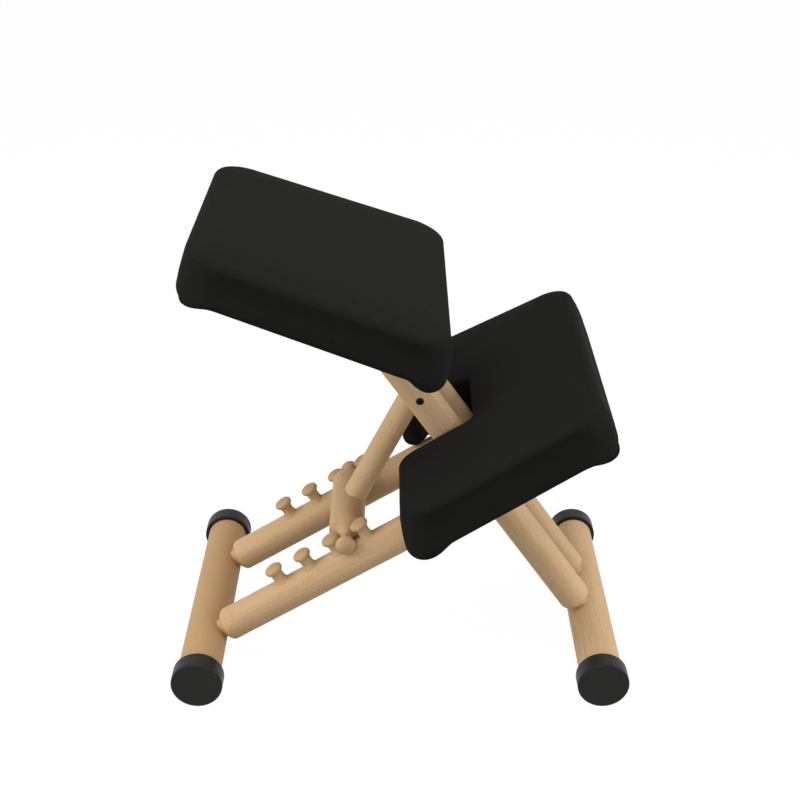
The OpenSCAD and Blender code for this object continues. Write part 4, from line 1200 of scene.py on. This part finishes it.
def rolled(edge, rolls, notch):
    """How far each point of the edge hangs below the board, and leans out at its foot. Both are greatest
    at the corners of the front and the back, and fade away from them as (1 - (distance / fade)^2)^2."""
    aside = np.abs(edge[:, 0])
    corner = ramp(aside, aside.max() - ROLL_CORNER_FROM, aside.max() - ROLL_CORNER_TO)
    drop, lean = np.zeros(len(edge)), np.zeros(len(edge))
    for roll, distance in zip(rolls, (edge[:, 1] - edge[:, 1].min(), edge[:, 1].max() - edge[:, 1])):
        middle_drop, corner_drop, middle_lean, corner_lean, fade = roll
        fade = np.where(notch, NOTCH_FADE, fade)
        weight = np.maximum(0, 1 - (distance / fade) ** 2) ** 2
        drop += weight * (middle_drop + (corner_drop - middle_drop) * corner)
        lean += weight * (middle_lean + (corner_lean - middle_lean) * corner)
    return drop, lean


def edge_section(side_draw, thickness, drop, lean, top_radius):
    """Insets and heights [row, point] of the edge's sections, from the pocket for the board to the band
    beside the top. The bottom and the top are arcs, and the side between them lies on the tangent of
    both circles, whose slope is atan(dx / dz) + asin((bottom - top radius) / distance of the centres),
    and is drawn in from it by a parabola, less so over the rolls."""
    one = np.ones_like(drop)
    radius = BOTTOM_ROUND + ROLL_ROUND * drop / max(drop.max(), MM)
    foot_x, foot_z = radius - lean, radius - drop
    dx, dz = top_radius - foot_x, thickness - top_radius - foot_z
    slope = np.arctan2(dx, dz) + np.arcsin((radius - top_radius) / np.hypot(dx, dz))
    t = np.linspace(0, 1, ARC_POINTS)[:, None]
    low, high = t * (math.pi / 2 + slope), slope + t * (math.pi / 2 - slope)
    bottom = foot_x - radius * np.sin(low), foot_z - radius * np.cos(low)
    top = top_radius * (1 - np.cos(high)), thickness - top_radius * (1 - np.sin(high))
    s = np.linspace(0, 1, SIDE_POINTS + 2)[1:-1, None]
    side = [bottom[i][-1] * (1 - s) + top[i][0] * s for i in (0, 1)]
    fuller = 1 - CORNER_FULLNESS * drop / max(drop.max(), MM)
    side[0] = side[0] + side_draw * fuller * 4 * s * (1 - s)
    under = (SKIRT + foot_x) / 2
    band = top_radius + (BAND - top_radius) * np.array(BAND_SHARES)[:, None]
    rim_inset = np.stack([SKIRT * one, SKIRT * one, SKIRT * one, under])
    rim_height = np.stack([POCKET_TOP * one, (POCKET_TOP - drop) / 2, -drop, -drop])
    inset = np.concatenate([rim_inset, bottom[0], side[0], top[0], band])
    height = np.concatenate([rim_height, bottom[1], side[1], top[1], thickness + 0 * band])
    return inset, height


def shell(name, pad, *grids):
    """One closed piece from several (grid, round columns) in a pad's frame that meet at their rims."""
    points, faces, first = [], [], 0
    for grid, round_columns in grids:
        points.append(grid.reshape(-1, 3))
        faces.append(first + grid_faces(*grid.shape[:2], round_columns=round_columns))
        first += len(points[-1])
    return solid(name, pad.placed(np.concatenate(points)), np.concatenate(faces))


def lay_weave(mesh, pad):
    """A UV map of where each point lies in the flat cover, in metres: its place seen from above, plus,
    past the upper edge, how far down the side it lies, outwards along the side's level normal."""
    place = pad.local(mesh_points(mesh))
    level = (mesh_normals(mesh) @ np.stack([X, pad.back, pad.up], axis=1))[:, :2]
    level /= np.maximum(np.linalg.norm(level, axis=1), LEAST_LEAN)[:, None]
    drop = np.maximum(pad.height - place[:, 2], 0)[:, None]
    flat = place[:, :2] + level * drop
    corners = np.empty(len(mesh.loops), np.int32)
    mesh.loops.foreach_get("vertex_index", corners)
    layer = mesh.uv_layers.new(name="weave")
    layer.uv.foreach_set("vector", flat[corners].astype(np.float32).ravel())


class KNEELING_OT_pads(bpy.types.Operator):
    """Upholsters the seat and knee pads: foam shapes whose covers swell under pressure"""
    bl_idname = "kneeling_chair.pads"
    bl_label = "Pads"

    def execute(self, context):
        settings = context.scene.kneeling_chair.pad
        cloth = cover_cloth(settings)
        for name, pad, shape in (("seat", SEAT, seat_edge()), ("knee", KNEE, knee_edge())):
            node = name + "_cushion"
            cushion = self.foam("upholstered_" + node, pad, shape, settings)
            self.swell(context.scene, settings, cushion, pad, shape[0], shape[0][shape[3]])
            finer = cushion.modifiers.new("finer", "SUBSURF")
            finer.levels = finer.render_levels = 1
            settle(cushion)
            lay_weave(cushion.data, pad)
            cushion.data.shade_smooth()
            stand_in(cushion, cloth, "fabric", node)
        return {"FINISHED"}

    def foam(self, name, pad, shape, settings):
        """The foam shape: a skin of rings that follow the pad's edge, and two patches that close it over
        the pocket and on top. The top rises from its edge by crown * (1 - (1 - t)^2), where t is the
        distance from the edge as a share of the crown's reach."""
        edge, (a, b), rolls, notch = shape
        thickness = pad.height - settings.crown - SWELL_ROOM / 2
        beside = sum(np.roll(notch, i) for i in range(-NOTCH_EASE, NOTCH_EASE + 1)) / (2 * NOTCH_EASE + 1)
        top_radius = TOP_ROUND + (NOTCH_TOP_ROUND - TOP_ROUND) * beside
        inset, height = edge_section(settings.side_draw, thickness, *rolled(edge, rolls, notch), top_radius)
        plan = edge[None] + inset[:, :, None] * inward(edge)[None]
        skin = np.concatenate([plan, height[:, :, None]], axis=2)
        pocket = self.filled(patch(plan[0], a, b), POCKET_TOP)
        top = self.filled(patch(plan[-1], a, b), thickness)
        for grid in (skin[-4:], top):
            distance = edge_distance(grid.reshape(-1, 3)[:, :2], edge)
            t = np.clip((distance - TOP_ROUND) / (CROWN_SHARE * pad.length), 0, 1)
            grid[:, :, 2] += settings.crown * (1 - (1 - t) ** 2).reshape(grid.shape[:2])
        return shell(name, pad, (skin, True), (pocket, False), (top, False))

    def filled(self, grid, height):
        """The level grid at a height."""
        return np.concatenate([grid, np.full((*grid.shape[:2], 1), height)], axis=2)

    def swell(self, scene, settings, cushion, pad, edge, notch):
        """Blows the cover up as cloth for a few frames, then lets each point go no further than its own
        limit: all of the swell on the top, none at the board, hardly any in the notch, and hardly any
        inwards, where the foam holds the cover."""
        before, outward = mesh_points(cushion.data), mesh_normals(cushion.data)
        place = pad.local(before)
        limit = settings.swell * ramp(place[:, 2], SWELL_FROM, SWELL_FULL)
        in_pocket = (edge_distance(place[:, :2], edge) > SKIRT - HAIR) & (place[:, 2] < 2 * POCKET_TOP)
        limit[in_pocket] = 0
        if len(notch):
            clear = ramp(edge_distance(place[:, :2], notch), 0, NOTCH_CLEAR)
            limit = np.minimum(limit, settings.notch_swell + (settings.swell - settings.notch_swell) * clear)
        held = cushion.vertex_groups.new(name="held")
        held.add([int(i) for i in np.flatnonzero(limit <= 0)], 1.0, "REPLACE")
        cloth = cushion.modifiers.new("cover", "CLOTH")
        cloth.settings.quality = 5
        cloth.settings.use_pressure = True
        cloth.settings.uniform_pressure_force = settings.pressure
        cloth.settings.effector_weights.gravity = 0.0
        cloth.settings.vertex_group_mass = "held"
        cloth.point_cache.frame_start = 1
        cloth.point_cache.frame_end = SIMULATED_FRAMES
        for number in range(1, SIMULATED_FRAMES + 1):
            scene.frame_set(number)
        settle(cushion)
        moved = mesh_points(cushion.data) - before
        length = np.maximum(np.linalg.norm(moved, axis=1), LEAST_LENGTH)
        outwards = (moved * outward).sum(axis=1) > 0
        limit = np.where(outwards, limit, np.minimum(limit, settings.give))
        points = before + moved * (limit * (1 - np.exp(-length / SWELL_EASE)) / length)[:, None]
        cushion.data.vertices.foreach_set("co", points.astype(np.float32).ravel())
        cushion.data.update()
        cushion.vertex_groups.clear()
        scene.frame_set(1)


# The hem under a pad: how far in it starts, meets the board and ends, its thickness, and its gap to the
# board
HEM_START, HEM_ON_BOARD, HEM_REACH, HEM_THICK, HEM_GAP = 9 * MM, 24 * MM, 36 * MM, 1.0 * MM, 0.1 * MM
# Its cut edge wanders by two sines: the height of the long one and the share of the short one, how far
# each takes to turn by one radian, and by what angle the short one is ahead
HEM_WAVE, HEM_SHORT_SHARE, HEM_LONG_WAVE, HEM_SHORT_WAVE = 2.2 * MM, 0.6, 31 * MM, 11.3 * MM
HEM_SHORT_AHEAD = 1.0
# It starts thin, by this share, and is full from that share of its width on
HEM_THIN_SHARE, HEM_FULL_SHARE = 0.25, 0.4
STAPLE_INSET, STAPLE_SPACING = 27 * MM, 30 * MM
STAPLE_WIDTH, STAPLE_WIRE = 10 * MM, 1.1 * MM
# How far the staples lean from their row, and by what angle the lean goes on from one to the next
STAPLE_LEAN, STAPLE_TURN = 0.16, 2.4
# A staple's line from one foot to the other, in half wires from its end and from the hem, and the way
# that each point's section faces. Its section is this share of half the wire wide and high.
STAPLE_LINE_SHARES = ((0, 1.5), (0, -0.6), (1.2, -1.6))
STAPLE_FACING_SHARES = ((-1.0, 0.0), (-1, -0.4), (-0.4, -1))
STAPLE_SECTION_SHARES = (0.7, 0.5)


class KNEELING_OT_hems(bpy.types.Operator):
    """Folds the covers under the pads and staples them to the boards"""
    bl_idname = "kneeling_chair.hems"
    bl_label = "Hems and Staples"

    def execute(self, context):
        settings = context.scene.kneeling_chair
        cloth, wire = cover_cloth(settings.pad), zinc_plate(settings.fitting)
        for name, pad, shape in (("seat", SEAT, seat_edge()), ("knee", KNEE, knee_edge())):
            edge, (a, b), rolls, notch = shape
            depth = rolled(edge, rolls, notch)[0]
            body = BODY_OF[name + "_board"]
            bands = [np.arange(len(edge))]
            if name == "knee":
                outer = np.arange(ARC_STEPS // 2 + 1, 2 * a + b - ARC_STEPS // 2)
                end_start = 2 * a + b + ARC_STEPS // 2 + KNEE_SIDE_STEPS + ARC_STEPS
                bands = [outer, np.arange(end_start + 2, end_start + KNEE_FRONT_STEPS - 1)]
            hems = [self.hem(pad, edge, depth, band) for band in bands]
            hem = joined("stapled_" + name + "_hem", hems)
            staples = self.staples("wire_" + name + "_staples", pad, edge, bands)
            lay_weave(hem.data, pad)
            for piece, finish, slot in ((hem, cloth, "fabric"), (staples, wire, "zinc")):
                piece.data.materials.append(finish)
                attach(piece, body)
        return {"FINISHED"}

    def hem(self, pad, edge, depth, band):
        """One band of the hem. Its section is flat and thin, it comes down out of the hanging edge, and its
        cut edge wanders by a sum of two sines."""
        normal, depth = inward(edge)[band], depth[band]
        walk = np.cumsum(np.linalg.norm(edge - np.roll(edge, 1, axis=0), axis=1))[band]
        short = HEM_SHORT_SHARE * np.sin(walk / HEM_SHORT_WAVE + HEM_SHORT_AHEAD)
        wander = HEM_WAVE * (np.sin(walk / HEM_LONG_WAVE) + short)
        t = np.linspace(0, 1, CURVE_STEPS + 1)[:, None]
        inset = HEM_START + t * (HEM_REACH + wander - HEM_START)[None]
        level = -HEM_GAP - depth[None] * (1 - ramp(inset, HEM_START, HEM_ON_BOARD))
        plan = edge[band][None] + inset[:, :, None] * normal[None]
        upper = np.concatenate([plan, level[:, :, None]], axis=2)
        thick = HEM_THICK * (HEM_THIN_SHARE + (1 - HEM_THIN_SHARE) * ramp(t, 0, HEM_FULL_SHARE))
        lower = (upper - thick[:, :, None] * (0, 0, 1))[::-1]
        ring = np.concatenate([upper, lower]).transpose(1, 0, 2)
        whole = len(band) == len(edge)
        if not whole:
            tips = ring.mean(axis=1, keepdims=True) + 0 * ring
            ring = np.concatenate([tips[:1], ring, tips[-1:]])
        return surface("hem", pad.placed(ring.reshape(-1, 3)).reshape(ring.shape), round_rows=whole)

    def staples(self, name, pad, edge, bands):
        """A row of wire staples along each band. One staple is a bar with four sides whose ends turn up
        into the board, and all are placed at once."""
        normal = inward(edge)
        spots = []
        for band in bands:
            path = edge[band] + STAPLE_INSET * normal[band]
            walk = np.concatenate([[0], np.cumsum(np.linalg.norm(np.diff(path, axis=0), axis=1))])
            at = np.arange(STAPLE_SPACING / 2, walk[-1], STAPLE_SPACING)
            place = np.stack([np.interp(at, walk, path[:, i]) for i in (0, 1)], axis=1)
            nearest = np.argmin(np.abs(at[:, None] - walk[None]), axis=1)
            spots.append(np.concatenate([place, normal[band][nearest]], axis=1))
        spots = np.concatenate(spots)
        lean = STAPLE_LEAN * np.sin(np.arange(len(spots)) * STAPLE_TURN)[:, None]
        out = spots[:, 2:] + lean * spots[:, 2:][:, ::-1] * (-1, 1)
        out /= np.linalg.norm(out, axis=1)[:, None]
        along = np.stack([-out[:, 1], out[:, 0]], axis=1)
        wire = STAPLE_WIRE / 2
        line = wire * np.array(STAPLE_LINE_SHARES) + (-STAPLE_WIDTH / 2, -HEM_GAP - HEM_THICK)
        facing = np.array(STAPLE_FACING_SHARES)
        line, facing = (np.concatenate([part, part[::-1] * (-1, 1)]) for part in (line, facing))
        facing /= np.linalg.norm(facing, axis=1)[:, None]
        sides = wire * np.array([(1, 1), (1, -1), (-1, -1), (-1, 1)]) * STAPLE_SECTION_SHARES
        shift = line[None, :, None, :] + facing[None, :, None, :] * sides[None, None, :, 1:]
        level = (spots[:, None, None, :2] + along[:, None, None] * shift[..., :1]
                 + out[:, None, None] * sides[None, None, :, :1])
        height = np.broadcast_to(shift[..., 1:], (*level.shape[:3], 1))
        rows, around = len(line), len(sides)
        count = rows * around
        ends = [np.arange(around)[::-1], np.arange(count - around, count)]
        one = np.concatenate([grid_faces(rows, around), ends])
        faces = one[None] + count * np.arange(len(spots))[:, None, None]
        points = np.concatenate([level, height], axis=3).reshape(-1, 3)
        return solid(name, pad.placed(points), faces.reshape(-1, 4))


# Stage

# The floor: its width, and how far under the caps it lies, so that they don't share a face
FLOOR_SIZE, FLOOR_DROP = 40.0, 0.2 * MM
# How much of the floor's look is its paint, which takes the chair's shadow, and not plain white
SHADOW_SHARE = 0.14
# The softboxes: width, height and place. They all face one point.
SOFTBOXES = {
    "overhead_softbox": (2.2, 2.2, (-0.3, 0.2, 2.3)), "near_softbox": (1.6, 1.2, (-2.3, 0.3, 0.75)),
    "front_softbox": (1.4, 1.4, (-0.3, -2.0, 1.1)), "back_softbox": (1.4, 1.4, (-0.3, 2.0, 1.1))}
SOFTBOX_AIM = (0.0, 0.0, 0.3)
# How much stronger the front softbox is than the back one
FRONT_SHARE = 1.1
# Width of the camera's sensor, in millimetres
SENSOR_WIDTH = 36.0


def seen(tree):
    """1 for rays that come from the camera or through a mirror or glass, and 0 for the others."""
    path = add(tree, "ShaderNodeLightPath")
    direct = add(tree, "ShaderNodeMath", {
        0: path.outputs["Is Camera Ray"], 1: path.outputs["Is Glossy Ray"]}, operation="ADD")
    return add(tree, "ShaderNodeMath", {
        0: direct.outputs[0], 1: path.outputs["Is Transmission Ray"]}, operation="ADD", use_clamp=True)


@made_once("pale studio floor")
def pale_floor(tree):
    """Studio floor: painted board. What the camera and reflections see of it is mostly plain white, and
    the rest shows the chair's faint shadow."""
    share = add(tree, "ShaderNodeMath", {0: seen(tree).outputs[0], 1: 1 - SHADOW_SHARE}, operation="MULTIPLY")
    painted = add(tree, "ShaderNodeBsdfDiffuse", {"Color": linear("#848484")})
    white = add(tree, "ShaderNodeEmission", {"Color": (1, 1, 1, 1), "Strength": 1.14})
    return add(tree, "ShaderNodeMixShader", {0: share.outputs[0], 1: painted.outputs[0], 2: white.outputs[0]})


class KNEELING_OT_stage(bpy.types.Operator):
    """Sets the camera of the photograph, a plain white floor and soft studio light"""
    bl_idname = "kneeling_chair.stage"
    bl_label = "Stage"

    def execute(self, context):
        scene, settings = context.scene, context.scene.kneeling_chair.stage
        scene.view_settings.view_transform = "Standard"
        lens = bpy.data.cameras.new("photo_camera")
        lens.sensor_width = SENSOR_WIDTH
        lens.lens = settings.lens
        camera = bpy.data.objects.new("photo_camera", lens)
        camera.location = settings.camera_at
        camera.rotation_euler = (math.pi / 2 - settings.camera_fall, 0.0, -math.pi / 2)
        scene.collection.objects.link(camera)
        scene.camera = camera
        self.floor()
        self.room(scene, settings)
        side = settings.side_light
        powers = (settings.top_light, settings.near_light, FRONT_SHARE * side, side)
        for name, power in zip(SOFTBOXES, powers):
            self.softbox(scene, name, power, *SOFTBOXES[name])
        return {"FINISHED"}

    def floor(self):
        """A level square under the chair, much wider than the picture."""
        half = FLOOR_SIZE / 2
        mesh = bpy.data.meshes.new("studio_floor")
        mesh.from_pydata([(-half, -half, 0), (half, -half, 0), (half, half, 0), (-half, half, 0)], [],
                         [(0, 1, 2, 3)])
        mesh.materials.append(pale_floor())
        floor = linked("studio_floor", mesh)
        floor.location.z = -FLOOR_DROP

    def room(self, scene, settings):
        """Even light from all round, which the camera and reflections see as white."""
        world = bpy.data.worlds.new("studio")
        world.use_nodes = True
        tree = world.node_tree
        tree.nodes.clear()
        strength = add(tree, "ShaderNodeMapRange", {
            "Value": seen(tree).outputs[0], "To Min": settings.world_light, "To Max": 1.0})
        light = add(tree, "ShaderNodeBackground", {"Color": (1, 1, 1, 1), "Strength": strength.outputs[0]})
        add(tree, "ShaderNodeOutputWorld", {"Surface": light.outputs[0]})
        scene.world = world

    def softbox(self, scene, name, power, width, height, place):
        """A rectangular area light that faces the chair."""
        light = bpy.data.lights.new(name, "AREA")
        light.shape = "RECTANGLE"
        light.size, light.size_y = width, height
        light.energy = power
        lamp = bpy.data.objects.new(name, light)
        lamp.location = place
        facing = lamp.location - Vector(SOFTBOX_AIM)
        lamp.rotation_euler = facing.to_track_quat("Z", "Y").to_euler()
        scene.collection.objects.link(lamp)


class KNEELING_PT_chair(bpy.types.Panel):
    """Lists the chair's settings and the steps that build it"""
    bl_label = "Kneeling Chair"
    bl_idname = "KNEELING_PT_chair"
    bl_space_type = "VIEW_3D"
    bl_region_type = "UI"
    bl_category = "Kneeling Chair"

    def draw(self, context):
        settings = context.scene.kneeling_chair
        for group in (settings.beech, settings.pad, settings.fitting, settings.stage):
            box = self.layout.box()
            for key in group.bl_rna.properties.keys():
                if key not in {"rna_type", "name"}:
                    box.prop(group, key)
        for operator in OPERATORS:
            self.layout.operator(operator.bl_idname)


GROUPS = (BeechSettings, PadSettings, FittingSettings, StageSettings, ChairSettings)
OPERATORS = (
    KNEELING_OT_stage, KNEELING_OT_cross_rails, KNEELING_OT_caps, KNEELING_OT_knee_rails,
    KNEELING_OT_seat_legs, KNEELING_OT_strut, KNEELING_OT_bolts, KNEELING_OT_boards, KNEELING_OT_pads,
    KNEELING_OT_hems)


def register():
    """Makes Blender know the settings, the operators and the panel."""
    for item in (*GROUPS, *OPERATORS, KNEELING_PT_chair):
        bpy.utils.register_class(item)
    bpy.types.Scene.kneeling_chair = PointerProperty(type=ChairSettings)


def unregister():
    """Takes back what register made."""
    del bpy.types.Scene.kneeling_chair
    for item in reversed((*GROUPS, *OPERATORS, KNEELING_PT_chair)):
        bpy.utils.unregister_class(item)


def main():
    """Builds the stage and the chair step by step."""
    register()
    bpy.ops.kneeling_chair.stage()
    bpy.ops.kneeling_chair.cross_rails()
    bpy.ops.kneeling_chair.caps()
    bpy.ops.kneeling_chair.knee_rails()
    bpy.ops.kneeling_chair.seat_legs()
    bpy.ops.kneeling_chair.strut()
    bpy.ops.kneeling_chair.bolts()
    bpy.ops.kneeling_chair.boards()
    bpy.ops.kneeling_chair.pads()
    bpy.ops.kneeling_chair.hems()


if __name__ == "__main__":
    main()
